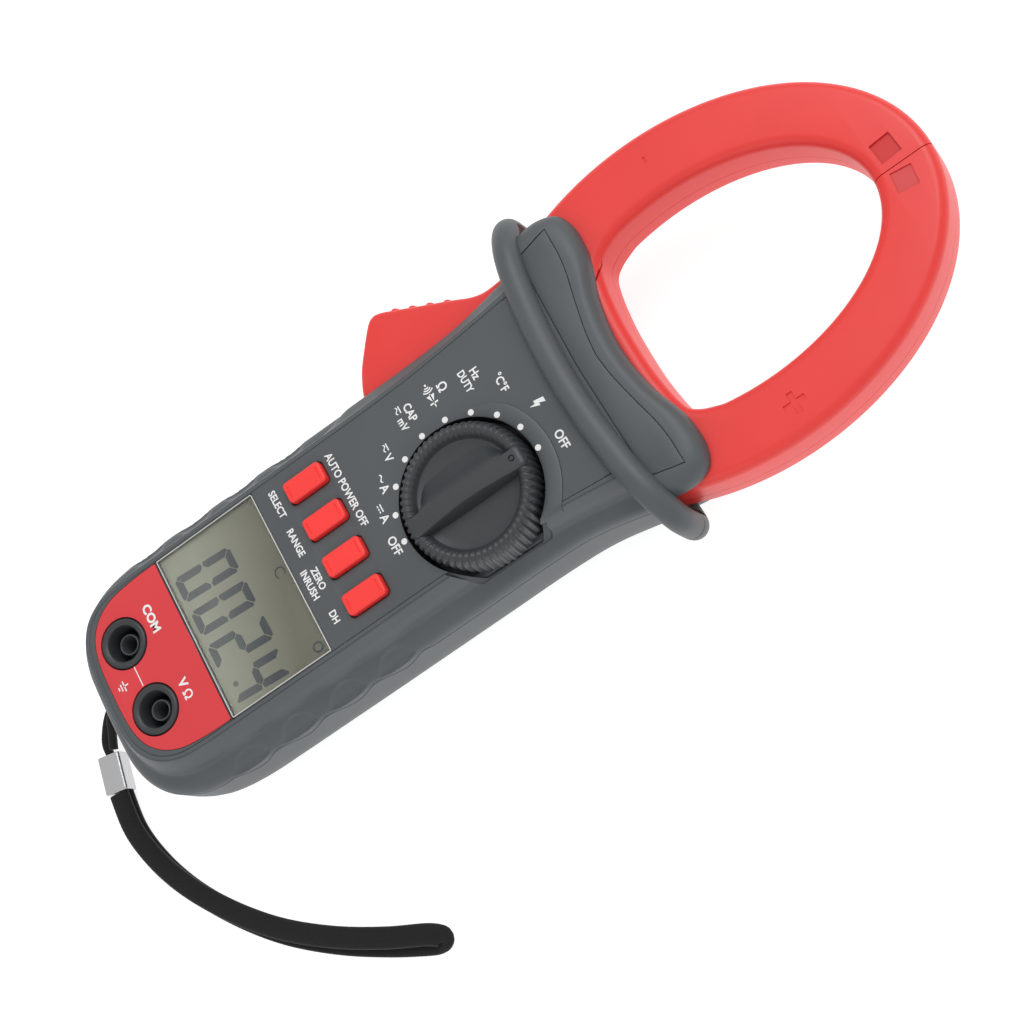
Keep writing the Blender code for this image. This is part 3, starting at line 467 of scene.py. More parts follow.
def guard_route(side_low, side_high, mid_level, outward):
    reach = GUARD_REACH - GUARD_RADIUS
    rise = abs(mid_level - side_high)
    side = [(reach, side_low), (reach, side_high - 1.5 * outward),
            (reach - 0.5, side_high + 0.2 * rise * outward),
            (reach - 2.2, side_high + 0.5 * rise * outward), (reach - 5.4, side_high + 0.76 * rise * outward),
            (reach - 10.0, side_high + 0.94 * rise * outward), (26.0, mid_level), (13.0, mid_level),
            (0.0, mid_level)]
    right = [(x, GUARD_MID + GUARD_BOW * x * x, z) for x, z in side]
    return smooth(right + [(-x, y, z) for x, y, z in reversed(right[:-1])], 8)


def sweep(name, route, section, look=None, up=(0, 0, 1), caps=True, sharp=30):
    """A section, given by a function of the share of the way along, carried along a route."""
    rings = []
    points = [Vector(p) for p in route]
    for i, point in enumerate(points):
        along = (points[min(i + 1, len(points) - 1)] - points[max(i - 1, 0)]).normalized()
        across = along.cross(Vector(up)).normalized()
        above = across.cross(along).normalized()
        rings.append([tuple(point + across * a + above * b) for a, b in section(i / (len(points) - 1))])
    return skin(name, rings, look, caps=caps, sharp=sharp)


def oval(width, height, count=28, power=2.0):
    found = []
    for i in range(count):
        angle = 2 * math.pi * i / count
        c, s = math.cos(angle), math.sin(angle)
        found.append((width * math.copysign(abs(c) ** (2 / power), c),
                      height * math.copysign(abs(s) ** (2 / power), s)))
    return found


def lever_slot(name):
    return plate(name, [(-60, -24.6), (-28.0, -24.6), (-9.6, -22.0), (-9.6, 6.0), (-12.0, 25.0),
                        (-34.0, 21.0),
                        (-35.2, 19.4), (-60, 19.4)],
                 TRIGGER_REAR - 0.5, TRIGGER_FRONT + 0.3)


def jaw_slot(name, low, high):
    """The way the jaws leave the case, between its front and rear walls."""
    return plate(name, [
        (-30.0, 16.0), (-28.0, 27.0), (33.5, 27.0), (36.4, 30.4), (39.2, 31.6), (41.3, 33.6), (43.0, 35.2),
        (60, 36.5), (60, 80), (-60, 80), (-60, 36.5), (-43.6, 35.4), (-41.9, 33.0), (-39.6, 30.4),
        (-37.9, 29.4), (-37.0, 25.0), (-36.0, 14.0)], low, high)


def side_amount(level):
    """How far in from its outline the grip's side is at a level."""
    steps = [(24.4, 0.0), (25.5, 0.1), (26.6, 0.45), (27.5, 1.1), (28.2, 2.0), (28.8, 3.0), (29.3, 3.85),
             (29.9, 4.5), (30.8, 4.85), (32.3, 5.15), (34.5, 5.8), (36.4, 6.7), (37.3, 7.15)]
    if level <= steps[0][0]:
        return 0.0
    for (low, start), (high, end) in zip(steps, steps[1:]):
        if level <= high:
            return start + (end - start) * (level - low) / (high - low)
    return steps[-1][1]


def front_grip():
    """The soft front moulding: an S-curved side that falls from the panel's rim to the seam."""
    side = [SEAM + 0.12, SEAM + 0.3] + [24.6 + 0.32 * k for k in range(40)]
    lip = smooth([(7.15, 37.3), (7.4, 37.66), (7.62, 37.6), (7.75, 37.85), (8.0, 37.98), (8.4, 38.0),
                  (8.62, 37.85), (8.7, 37.5)], 2)
    inner = [(8.7, 36.0), (7.9, 34.9), (7.0, 33.0), (6.6, 31.2), (6.2, 30.0), (5.2, 29.0), (4.0, 28.0),
             (3.2, 27.2),
             (2.6, 26.2), (2.4, 25.1), (2.3, SEAM + 0.5), (2.3, SEAM + 0.12)]
    line = list(zip(CASE_LINE, RIM_LINE))
    rings = []
    for level in side:
        ring = []
        for (x, y), (p, q) in line:
            z = level + seam_dip(x, y) * (1 - ease(SEAM, 28.5, level))
            amount = side_amount(z) + (0.2 if level < SEAM + 0.2 else 0)
            if x < 0:
                amount -= 2.1 * ease(-35, -25, y) * ease(30.6, 32.2, z) * (1 - ease(34.2, 37.6, z))
            press = thumb_press(x, y, z)
            share = (amount + press * 0.85) / SIDE_WIDTH
            ring.append((x + (p - x) * share, y + (q - y) * share, z - press * 0.4))
        rings.append(ring)
    for amount, level in lip:
        rings.append([(x, y, level) for x, y in tuck(amount)])
    for amount, level in inner:
        rings.append([(x, y, level + seam_dip(p, q) * (1 - ease(SEAM, 28.5, level)))
                      for (x, y), (p, q) in zip(tuck(amount), CASE_LINE)])
    grip = skin("grip_front", rings, GRIP_LOOK, loop=True)
    cut(grip, lever_slot("slot_a"), jaw_slot("slot_b", JAW_REAR, JAW_FRONT + 0.3),
        plate("slot_c", circle(DIAL, WELL_RADIUS + 0.9, 96), 30.9, 60),
        block("slot_d", (-30, 27.3, 30), (30, 60, 60)))
    ride(grip, "case", "grip_rubber", "front_grip")
    return grip


def shoulder_and_guard():
    line = shoulder_outline(10)
    edge = [(0.0, JAW_FRONT + 0.3), (0.0, 34.6), (0.12, 35.5), (0.5, 36.5), (1.15, 37.4), (2.1, 38.15),
            (3.2, 38.65), (4.5, COVER_TOP)]
    edge = smooth(edge, 3)
    rings = [[(x, y, z) for x, y in shrink(line, amount)] for amount, z in edge]
    cover = skin("shoulder_cover", rings, GRIP_LOOK)
    pocket = inset(shoulder_panel_line(), -0.22)
    cut(cover, plate("pocket", pocket, COVER_TOP - 0.55, 60))
    ride(cover, "case", "grip_rubber")
    badge = plate("shoulder_inset", shoulder_panel_line(), COVER_TOP - 1.0, COVER_TOP - 0.03, CASE_LOOK, 0.15,
                  2)
    ride(badge, "case", "case_plastic", "shoulder_panel")

    def section(t):
        tip = abs(2 * t - 1)
        return oval(GUARD_RADIUS - 0.25 * (1 - ease(0.55, 0.9, tip)), GUARD_RADIUS, 32)
    guard = sweep("guard_front", guard_route(SEAM + 0.12, 31.0, 39.6, 1), section, GRIP_LOOK, up=(0, 1, 0.02))
    cut(guard, jaw_slot("slot", JAW_REAR - 0.3, JAW_FRONT + 0.3))
    ride(guard, "case", "grip_rubber")
    reach = GUARD_REACH - GUARD_RADIUS
    half = [(reach, SEAM - 0.12), (reach - 0.1, 22.0), (reach - 0.8, 19.0), (reach - 2.6, 15.6),
            (reach - 5.4, 12.2),
            (reach - 9.0, 9.0), (27.0, 5.6), (18.0, 4.0), (8.0, GUARD_RADIUS), (0.0, GUARD_RADIUS)]
    half = [(x, GUARD_MID + GUARD_BOW * x * x, z) for x, z in half]
    route = smooth(half + [(-x, y, z) for x, y, z in reversed(half[:-1])], 6)
    rear = sweep("guard_rear", route, lambda t: oval(GUARD_RADIUS, GUARD_RADIUS, 32), REAR_LOOK,
                 up=(0, 1, 0.02))
    cut(rear, jaw_slot("slot", JAW_REAR - 0.3, JAW_FRONT + 0.3))
    ride(rear, "case", "case_plastic")
    for side in (-1, 1):
        web_line = []
        for x, offset in ((33.0, -3.1), (41.6, -2.6), (41.6, 2.2), (33.0, 2.2)):
            web_line.append((side * x, GUARD_MID + GUARD_BOW * x * x + offset))
        where = "left" if side < 0 else "right"
        for name, low, high, look, slot in (
                (f"web_front_{where}", SEAM + 0.12, 31.5, GRIP_LOOK, "grip_rubber"),
                (f"web_rear_{where}", 16.0, SEAM - 0.12, REAR_LOOK, "case_plastic")):
            web = plate(name, web_line if side > 0 else web_line[::-1], low, high, look)
            cut(web, jaw_slot("slot", JAW_REAR - 0.3, JAW_FRONT + 0.3))
            ride(web, "case", slot)


def shoulder_panel_line():
    side = smooth([(34.2, 39.45), (30.5, 39.4), (26.9, 39.3), (21.8, 38.6), (14.0, 36.8), (6.0, 35.2),
                   (0, 34.6)], 8)
    return mirrored([(0, 29.5), (32.1, 30.5), (33.6, 36.5)] + side)


def rear_case():
    outer = [(9.6, 0.0), (8.6, 0.06), (7.2, 0.42), (5.5, 1.3), (4.0, 2.6), (2.8, 4.2), (1.8, 6.2), (1.1, 8.4),
             (0.5, 10.8), (0.15, 13.4), (0.0, 16.4), (0.0, SEAM - 0.9), (0.0, SEAM - 0.4), (0.2, SEAM - 0.12)]
    inner = [(1.8, SEAM - 0.12), (1.8, 13.0), (2.6, 9.0), (3.8, 6.0), (5.4, 3.4), (7.2, 2.2), (9.6, 1.8)]
    rings = []
    for amount, level in outer + inner:
        rings.append([(x, y, level + seam_dip(p, q) * ease(14, SEAM, level))
                      for (x, y), (p, q) in zip(tuck(amount), CASE_LINE)])
    case = skin("rear_shell", rings, REAR_LOOK)
    cutters = [lever_slot("slot_a"), jaw_slot("slot_b", JAW_REAR - 0.3, JAW_FRONT),
               block("slot_c", (-18.2, -140, -5), (-7.8, -114.1, 10.6)),
               plate("slot_d", rounded(-15.3, 15.3, -102.8, -36.2, 1.0), -5, 30),
               block("slot_e", (-34, 29.5, 17), (34, 60, 60))]
    for index, (x, y) in enumerate(SCREWS):
        cutters.append(rod(f"well_{index}", (x, y), 3.0, -5, 6))
    cut(case, *cutters)
    ride(case, "case", "case_plastic", "rear_case")
    line = shoulder_outline(10)
    edge = smooth([(11.0, 0.0), (9.8, 0.12), (8.4, 0.5), (7.0, 1.5), (5.8, 2.9), (4.7, 5.0), (3.9, 8.0),
                   (3.5, 11.5),
                   (3.4, JAW_REAR - 0.8), (3.6, JAW_REAR - 0.3)], 3)
    rings = [[(x, y, z) for x, y in shrink(line, amount)] for amount, z in edge]
    rear_cover = skin("rear_shoulder", rings, REAR_LOOK)
    cut(rear_cover, rod("spring_room", PIVOT, 3.9, 4.5, 40))
    ride(rear_cover, "case", "case_plastic")
    lug = [block("lug_left", (-21.0, -121.2, 1.2), (-18.3, -110.8, 13.0)),
           block("lug_right", (-7.7, -121.2, 1.2), (-5.0, -110.8, 13.0))]
    for side in lug:
        side.data.materials.append(REAR_LOOK)
        ride(side, "case", "case_plastic")
    for index, (x, y) in enumerate(SCREWS):
        profile = [(3.0, 0.5), (3.0, 11.5), (3.5, 11.5), (3.5, 1.6)]
        well = skin(f"screw_well_{index + 1}",
                    [[(x + r * math.cos(a), y + r * math.sin(a), z) for a in
                      (2 * math.pi * k / 40 for k in range(40))] for r, z in profile],
                    REAR_LOOK, loop=True)
        ride(well, "case", "case_plastic")
    door = plate("battery_door", rounded(-15.0, 15.0, -102.5, -36.5, 0.8), 0.0, 2.2, REAR_LOOK, 0.35, 3)
    grooves = [plate(f"groove_{i}", rounded(-8.0, 8.0, -97.5 + 2.2 * i, -96.6 + 2.2 * i, 0.4), -5, 0.5)
               for i in range(5)]
    cut(door, rod("head_room", (0, -39.6), 3.1, -5, 1.4), rod("shank_room", (0, -39.6), 1.6, -5, 5), *grooves)
    ride(door, "case", "case_plastic", "battery_cover")


# ---------------------------------------------------------------- face

def well_line(grow):
    return circle(DIAL, WELL_RADIUS + grow, 96)


def key_line(index, grow=0.0, radius=1.1):
    x = (index - 1.5) * KEY_PITCH
    return rounded(x - KEY_HALF[0] - grow, x + KEY_HALF[0] + grow,
                   KEY_Y - KEY_HALF[1] - grow, KEY_Y + KEY_HALF[1] + grow, radius)


def face():
    upper = [p for p in PANEL_LINE if p[1] > -57.6]
    outline = [(upper[0][0], -57.75)] + upper + [(upper[-1][0], -57.75)]
    holes = [key_line(i, 0.35, 1.3) for i in range(4)]
    panel = plate("face_panel", [outline] + holes, 36.2, PANEL, CASE_LOOK, 0.18, 2)
    cut(panel, plate("well_hole", well_line(0.0), 30, 60))
    ride(panel, "case", "case_plastic", "front_case")
    rings = []
    for radius, level in ((WELL_RADIUS, PANEL - 0.1), (WELL_RADIUS, WELL_FLOOR), (5.0, WELL_FLOOR),
                          (5.0, WELL_FLOOR - 1.3), (WELL_RADIUS + 1.1, WELL_FLOOR - 1.3),
                          (WELL_RADIUS + 1.1, PANEL - 0.2)):
        rings.append([(x, y, level) for x, y in circle(DIAL, radius, 96)])
    well = skin("dial_well", rings, DARK_LOOK, loop=True)
    outside = skin("outside", [[(x, y, z) for x, y in tuck(a)] for a, z in (
        (8.4, 60), (8.4, 37.4), (7.7, 37.2), (6.2, 35.0), (5.05, 32.4), (4.4, 30.9), (3.9, 30.2), (3.9, 20))],
        None)
    shape(well, "INTERSECT", [outside])
    ride(well, "case", "case_plastic")
    collar()
    label_line = mirrored(smooth([
        (0, -115.2), (6.0, -115.1), (11.0, -114.55), (15.6, -112.9), (19.3, -109.6), (21.7, -104.8),
        (22.6, -99.0), (22.9, -94.0), (22.9, LABEL_TOP)], 6) + [(0, LABEL_TOP)])
    label = plate("terminal_plate", [label_line] + [circle(c, 6.75, 72) for c in JACKS.values()],
                  PANEL - 0.6, PANEL, LABEL_LOOK, 0.12, 2)
    ride(label, "case", "label_red", "terminal_label")
    lower = mirrored([p for p in PANEL_LINE if p[0] >= 0 and p[1] < -88.0] + [(23.25, LABEL_TOP + 0.2),
                                                                          (0, LABEL_TOP + 0.2)])
    base = plate("label_surround", [lower] + [inset(label_line, -0.12)], 36.2, PANEL - 0.02, CASE_LOOK, 0.1,
                 2)
    ride(base, "case", "case_plastic")
    floor = plate("label_backing", [inset(lower, 1.0)] + [circle(c, 6.6, 72) for c in JACKS.values()],
                  35.6, PANEL - 0.65, BLACK_LOOK)
    ride(floor, "case", "case_plastic")


def collar():
    """The low raised crescent round the dial's well, which runs out over the right shoulder."""
    rings = []
    count = 72
    for step in range(count + 1):
        angle = math.radians(-26 + 204 * step / count)
        share = ease(178, 120, math.degrees(angle))
        far = WELL_RADIUS + 0.6 + 3.9 * share
        rise = 0.45 * share + 0.02
        ring = []
        for radius, level in ((WELL_RADIUS + 0.05, PANEL - 1.4), (WELL_RADIUS + 0.05, PANEL + 0.3 * rise),
                              (WELL_RADIUS + 0.5, PANEL + 0.75 * rise), (WELL_RADIUS + 1.6, PANEL + rise),
                              (far - 0.7, PANEL + rise), (far - 0.15, PANEL + 0.6 * rise),
                              (far, PANEL - 0.1), (far, PANEL - 1.4)):
            ring.append((DIAL[0] + radius * math.cos(angle), DIAL[1] + radius * math.sin(angle), level))
        rings.append(ring)
    piece = skin("dial_collar", rings, CASE_LOOK)
    outside = skin("outside", [[(x, y, z) for x, y in tuck(a)] for a, z in (
        (8.6, 60), (8.2, 38.5), (7.5, 38.25), (6.75, 37.5), (5.8, 35.6), (4.95, 33.2), (4.5, 31.0),
        (3.9, 29.8))], None)
    shape(piece, "INTERSECT", [outside])
    ride(piece, "case", "case_plastic")


def keys():
    for index in range(4):
        name = f"key_{index + 1}"
        key = plate(name + "_cap", key_line(index), 29.6, 39.8, KEY_LOOK, 0.55, 4)
        x = (index - 1.5) * KEY_PITCH
        marks = [plate(f"mark_{k}", rounded(x - 1.6, x + 1.6, y - 0.16, y + 0.16, 0.15), 39.58, 45)
                 for k, y in enumerate((KEY_Y - KEY_MARK, KEY_Y + KEY_MARK))]
        cut(key, *marks)
        ride(key, name, "key_red", name)
        rim = plate(name + "_bezel", [key_line(index, 0.33, 1.3), key_line(index, 0.16, 1.2)], 36.4,
                    PANEL - 0.25,
                    BLACK_LOOK)
        ride(rim, "case", "case_plastic")


DIGITS = {"0": "abcdef", "2": "abged", "4": "fgbc"}


def segment(name, width, height, half, gap):
    """One bar of a seven-bar digit, mitred against its neighbours."""
    top = [(-half + 1.0, 2 * height + half), (-0.45 + gap, 2 * height + 0.45),
           (half + gap, 2 * height - half)]
    if name in "ad":
        outline = top + [(width - x, y) for x, y in reversed(top)]
    elif name == "g":
        side = [(gap, height), (half + gap, height + half), (half + gap, height - half)]
        return [side[0], side[2], (width - side[2][0], side[2][1]), (width - gap, height),
                (width - side[1][0], side[1][1]), side[1]]
    else:
        outline = [(-half, 2 * height + half - 1.0), (-0.45, 2 * height + 0.45 - gap),
                   (half, 2 * height - half - gap),
                   (half, height + half + gap), (0, height + gap), (-half, height + gap + 0.3)]
    if name in "dec":
        outline = [(x, 2 * height - y) for x, y in outline]
    if name in "bc":
        outline = [(width - x, y) for x, y in outline]
    return outline


def display():
    """The window, the display below it with its digits and signs, and a thin light border."""
    low_x, high_x, low_y, high_y = WINDOW
    window = plate("lcd_window", rounded(low_x + 0.1, high_x - 0.1, low_y + 0.1, high_y - 0.1, 0.3),
                   PANEL - 1.2, PANEL, GLASS_LOOK, 0.12, 2)
    ride(window, "case", "window_clear", "display_window")
    screen = plate("lcd_screen", rounded(low_x + 0.2, high_x - 0.2, low_y + 0.2, high_y - 0.2, 0.2),
                   33.4, 36.3, LCD_LOOK, 0.05, 1)
    ride(screen, "case", "display", "display_glass")
    outer = rounded(low_x - 0.02, high_x + 0.02, low_y - 0.02, high_y + 0.02, 0.35)
    inner = rounded(low_x + 0.17, high_x - 0.17, low_y + 0.17, high_y - 0.17, 0.2)
    edge = plate("lcd_border", [outer, inner], PANEL - 1.3, PANEL + 0.02, WHITE_LOOK)
    ride(edge, "case", "white_plastic")
    shift_x, shift_y = -0.75, -0.7
    pieces = []
    level = 36.33
    width, height, stroke, lean = 5.15, 7.55, 1.0, 0.063
    for index, digit in enumerate("0024"):
        left = -14.85 + shift_x + 9.88 * index
        foot = -85.4 + shift_y
        for name in DIGITS[digit]:
            placed = [(left + x + lean * y, foot + y) for x, y in segment(name, width, height, stroke, 0.17)]
            pieces.append(plate("segment", placed, level, level + 0.05))
    digits = joined("lcd_digits", pieces, DIGIT_LOOK)
    ride(digits, "case", "display")
    ring = plate("lcd_ring", [circle((20.55 + shift_x, -60.4 + shift_y), 1.45, 40),
                              circle((20.55 + shift_x, -60.4 + shift_y), 0.95, 40)], level, level + 0.05)
    letter = text("C", (-1.3 + shift_x, -60.3 + shift_y), 3.2, level, 0.05)
    dot = plate("lcd_dot", circle((16.3 + shift_x, -83.9 + shift_y), 0.75, 32), level, level + 0.02)
    signs = joined("lcd_signs", [ring, letter], DIGIT_LOOK)
    ride(signs, "case", "display")
    dot.data.materials.append(FAINT_LOOK)
    ride(dot, "case", "display")


def joined(name, pieces, look):
    """One object from several, with one material."""
    bm = bmesh.new()
    for piece in pieces:
        other = piece.data.copy()
        other.transform(piece.matrix_world)
        bm.from_mesh(other)
        bpy.data.meshes.remove(other)
        bpy.data.objects.remove(piece)
    mesh = bpy.data.meshes.new(name)
    bm.to_mesh(mesh)
    bm.free()
    obj = new_object(name, mesh, look)
    for polygon in mesh.polygons:
        polygon.use_smooth = False
        polygon.material_index = 0
    return obj


def text(words, centre, height, level, thick=0.04, weight=0.0, squeeze=1.0):
    """Flat lettering whose capitals are this high, centred on a point."""
    curve = bpy.data.curves.new("legend", "FONT")
    curve.body = words
    curve.align_x = "CENTER"
    curve.align_y = "CENTER"
    curve.size = height / 0.73 * MM
    curve.extrude = thick / 2 * MM
    curve.offset = weight * MM
    curve.resolution_u = 3
    source = bpy.data.objects.new("legend", curve)
    bpy.context.scene.collection.objects.link(source)
    bpy.context.view_layer.update()
    mesh = bpy.data.meshes.new_from_object(source.evaluated_get(bpy.context.evaluated_depsgraph_get()))
    bpy.data.objects.remove(source)
    xs = [v.co.x for v in mesh.vertices]
    ys = [v.co.y for v in mesh.vertices]
    mid = Vector(((min(xs) + max(xs)) / 2, (min(ys) + max(ys)) / 2, 0))
    mesh.transform(Matrix.Translation(-mid))
    mesh.transform(Matrix.Diagonal((squeeze, 1, 1, 1)))
    mesh.transform(Matrix.Translation((centre[0] * MM, centre[1] * MM, (level + thick / 2) * MM)))
    return new_object("legend", mesh)


def wave(centre, width, stroke=0.32):
    """A small alternating-current sign."""
    points = []
    for step in range(17):
        t = step / 16
        points.append((centre[0] + (t - 0.5) * width, centre[1] + 0.32 * math.sin(2 * math.pi * t)))
    top = [(x, y + stroke / 2) for x, y in points]
    return top + [(x, y - stroke / 2) for x, y in reversed(points)]


def bar(centre, width, stroke=0.32):
    return rounded(centre[0] - width / 2, centre[0] + width / 2, centre[1] - stroke / 2,
                   centre[1] + stroke / 2, 0.05, 1)


def legends():
    """White printing: the selector's positions, the keys' words and the terminals' signs."""
    level = PANEL + 0.005
    thick = 0.035

    def ink(outline):
        return plate("ink", outline, level, level + thick)

    made = []
    for index in range(10):
        angle = math.radians(90 + 20 * index)
        place = (DIAL[0] + 20.06 * math.cos(angle), DIAL[1] + 20.06 * math.sin(angle))
        on_collar = 0.47 * ease(178, 120, 90 + 20 * index) + 0.01
        made.append(plate("dot", circle(place, 0.78, 32), level, level + on_collar + 0.03))
    words = [
        ("OFF", (12.2, 17.35), 2.35, 0.9), ("°C°F", (-8.6, 11.55), 2.2, 0.86),
        ("Hz", (-14.45, 7.0), 2.2, 0.86),
        ("DUTY", (-14.1, 3.95), 2.0, 0.82), ("Ω", (-16.7, -1.7), 2.5, 0.95),
        ("CAP", (-16.0, -11.8), 2.2, 0.86),
        ("mV", (-14.4, -14.8), 2.05, 0.86), ("V", (-9.45, -22.1), 2.3, 0.9),
        ("A", (-3.45, -26.65), 2.35, 0.9),
        ("A", (2.95, -30.2), 2.35, 0.9), ("OFF", (10.25, -31.3), 2.35, 0.9),
        ("AUTO POWER OFF", (-9.2, -35.35), 2.1, 0.86), ("SELECT", (-16.5, -52.95), 1.95, 0.88),
        ("RANGE", (-5.25, -53.25), 1.95, 0.88), ("ZERO", (5.8, -52.4), 1.95, 0.88),
        ("INRUSH", (6.0, -55.15), 1.95, 0.88), ("DH", (16.4, -53.3), 1.95, 0.88),
    ]
    for body, centre, height, squeeze in words:
        made.append(text(body, centre, height, level, thick, 0.065, squeeze))
    for place in ((-12.1, -21.55), (-18.25, -14.3)):
        made.append(ink(bar((place[0], place[1] + 0.42), 2.0)))
        made.append(ink(wave((place[0], place[1] - 0.42), 2.0)))
    made.append(ink(wave((-6.1, -26.3), 2.2, 0.38)))
    made.append(ink(bar((0.2, -29.75), 2.2)))
    for k in range(3):
        made.append(ink(bar((-0.58 + 0.78 * k, -30.55), 0.55)))
    bolt = [(0.55, 18.55), (1.9, 18.55), (1.25, 16.95), (2.0, 16.95), (0.95, 14.35), (0.95, 15.9),
            (0.1, 15.9)]
    made.append(ink(bolt))
    made.append(ink(circle((-19.45, -5.35), 0.3, 16)))
    for radius in (0.85, 1.45, 2.05):
        outline = arc((-19.45, -5.35), (radius + 0.16,) * 2, -42, 42, 8)
        made.append(ink(outline + arc((-19.45, -5.35), (radius - 0.16,) * 2, 42, -42, 8)))
    made.append(ink([(-16.6, -4.2), (-16.6, -6.5), (-14.5, -5.35)]))
    made.append(ink(rounded(-14.55, -14.15, -6.5, -4.2, 0.05, 1)))
    made.append(ink(rounded(-16.9, -13.2, -5.5, -5.2, 0.05, 1)))
    print_ = joined("panel_printing", made, INK_LOOK)
    ride(print_, "case", "white_plastic")
    signs = [text("COM", (-11.25, -96.6), 2.45, level, thick, 0.12, 1.02),
             text("V", (7.9, -96.6), 2.5, level, thick, 0.12, 1.0),
             text("Ω", (11.1, -96.6), 2.5, level, thick, 0.06, 1.0),
             ink(bar((-0.3, -106.6), 5.6, 0.26)), ink(rounded(-0.5, -0.14, -111.4, -110.1, 0.05, 1)),
             ink(bar((-0.32, -111.3), 2.9, 0.34)), ink(bar((-0.32, -112.15), 1.9, 0.34)),
             ink(bar((-0.32, -112.95), 0.9, 0.34))]
    print_ = joined("terminal_printing", signs, INK_LOOK)
    ride(print_, "case", "white_plastic")


def jacks():
    for name, (x, y) in JACKS.items():
        profile = [(4.45, 26.4), (4.45, 37.3), (4.75, 37.9), (5.3, 38.25), (5.9, 38.3), (6.25, 38.1),
                   (6.45, 37.7),
                   (6.5, 37.3), (6.5, 24.0), (3.6, 24.0), (3.6, 26.4)]
        rings = [[(px, py, z) for px, py in circle((x, y), r, 80)] for r, z in profile]
        ring = skin(name + "_socket", rings, DARK_LOOK, loop=True)
        ride(ring, "case", "black_plastic", name + "_shroud")
        profile = [(2.25, 28.0), (2.25, 35.2), (2.35, 35.4), (2.5, 35.45), (2.65, 35.4), (2.75, 35.2),
                   (2.75, 26.6),
                   (1.0, 26.6), (1.0, 28.0)]
        rings = [[(px, py, z) for px, py in circle((x, y), r, 64)] for r, z in profile]
        tube = skin(name + "_tube", rings, JACK_TUBE_LOOK, loop=True)
        ride(tube, "case", "brass", name + "_contact")
        # A black disc over the contact tube's floor: painted shade at the bottom of the hole.
        depth_shade_disc = rod(name + "_depth", (x, y), 2.2, 28.3, 28.9, BLACK_LOOK)
        finish_mesh(depth_shade_disc)
        ride(depth_shade_disc, "case", "black_plastic")


JACK_TUBE_LOOK = moulded("tube_grey", (0.075, 0.078, 0.08), 0.35, grain=0.3, bump=0.02)


# ---------------------------------------------------------------- selector

def selector():
    """A ribbed ring round a dished disc, with a bar across it that points at the setting."""
    count, ribs = 720, 60
    profile = smooth([
        (13.0, 39.55), (13.35, 39.75), (13.7, 40.4), (14.2, 41.25), (14.9, 41.85), (15.7, 42.0), (16.5, 41.6),
        (17.15, 40.7), (17.5, 39.5), (17.65, 38.0), (17.7, 36.0), (17.7, 33.5), (17.5, 32.0), (17.0, 31.0)],
        3)
    rings = []
    for k in range(3):
        radius = (0.02, 6.0, 11.0)[k]
        rings.append([(x, y, (38.75, 38.8, 39.15)[k]) for x, y in circle((0, 0), radius, count)])
    rings.append([(x, y, 39.3) for x, y in circle((0, 0), 12.3, count)])
    for radius, level in profile:
        strength = ease(13.6, 14.6, radius) * (0.55 if level > 40.8 else 1.0) * ease(30.6, 32.2, level)
        slant = (42.0 - level) * 0.35 + (radius - 15.7) * 0.9
        ring = []
        for i in range(count):
            angle = 360 * i / count
            wave_ = math.cos(math.radians((angle + slant) * ribs))
            lift = strength * 0.30 * (abs(wave_) ** 0.6 * math.copysign(1, wave_) - 0.4)
            r = radius + lift * (0.9 if radius > 15.7 else -0.25)
            z = level + (lift * 0.7 if level > 39.6 else 0)
            ring.append((r * math.cos(math.radians(angle)), r * math.sin(math.radians(angle)), z))
        rings.append(ring)
    rings.append([(x, y, 31.0) for x, y in circle((0, 0), 4.0, count)])
    rings.append([(x, y, 26.8) for x, y in circle((0, 0), 4.0, count)])
    rings = [[(x + DIAL[0], y + DIAL[1], z) for x, y, z in ring] for ring in rings]
    knob = skin("selector_knob", rings, KNOB_LOOK, sharp=50)
    ride(knob, "selector", "black_plastic", "dial_knob")

    rings = []
    steps = 60
    for step in range(steps + 1):
        y = -16.4 + 33.4 * step / steps
        end = math.sqrt(max(0.0, 1 - (max(0.0, abs(y - 0.3) - 15.3) / 1.6) ** 2))
        half = 2.95 * (0.55 + 0.45 * end)
        waist = 0.9 * max(0.0, 1 - (y / 14.0) ** 2) ** 1.5
        skirt = min(9.5, math.sqrt(max(0.0, 12.9 ** 2 - y * y))) if abs(y) < 12.9 else 0.0
        skirt = max(skirt, half + 0.5)
        crown = 42.9 - 0.25 * (abs(y) / 16.5) ** 2 - 1.6 * (1 - end)
        slope = (crown - 39.0) * (1 if skirt > half + 1.5 else 0.6)
        ring = [(-skirt, 38.4), (-skirt, 38.95), (-half - 0.62 * (skirt - half), 39.0 + 0.16 * slope),
                (-half - 0.3 * (skirt - half), 39.0 + 0.48 * slope), (-half, 39.0 + 0.84 * slope),
                (-half + 0.9, crown - 0.12), (-half + 1.7, crown), (half - waist - 0.7, crown),
                (half - waist - 0.25, crown - 0.1), (half - waist, crown - 0.4), (half + 0.35, 39.3),
                (half + 0.35, 38.4)]
        rings.append([(DIAL[0] + x, DIAL[1] + y, z) for x, z in ring])
    handle = skin("selector_bar", rings, KNOB_LOOK, sharp=40)
    cut(handle, plate("pointer", [circle((DIAL[0], DIAL[1] + 14.2), 0.85, 32),
                                  circle((DIAL[0], DIAL[1] + 14.2), 0.45, 24)],
                      42.2, 50), sharp=40)
    ride(handle, "selector", "black_plastic")


# ---------------------------------------------------------------- jaws

def aperture_line():
    """The window between the jaws: an ellipse above a nearly straight base with rounded corners."""
    side = arc(INNER_CENTRE, INNER_RADII, -16, 90, 64)
    base = smooth([(0.0, 42.9), (7.0, 43.05), (14.0, 43.8), (19.0, 44.8), (21.6, 46.0), (23.4, 48.4),
                   (24.6, 51.2), side[0]], 5)
    return mirrored(base[:-1] + side)


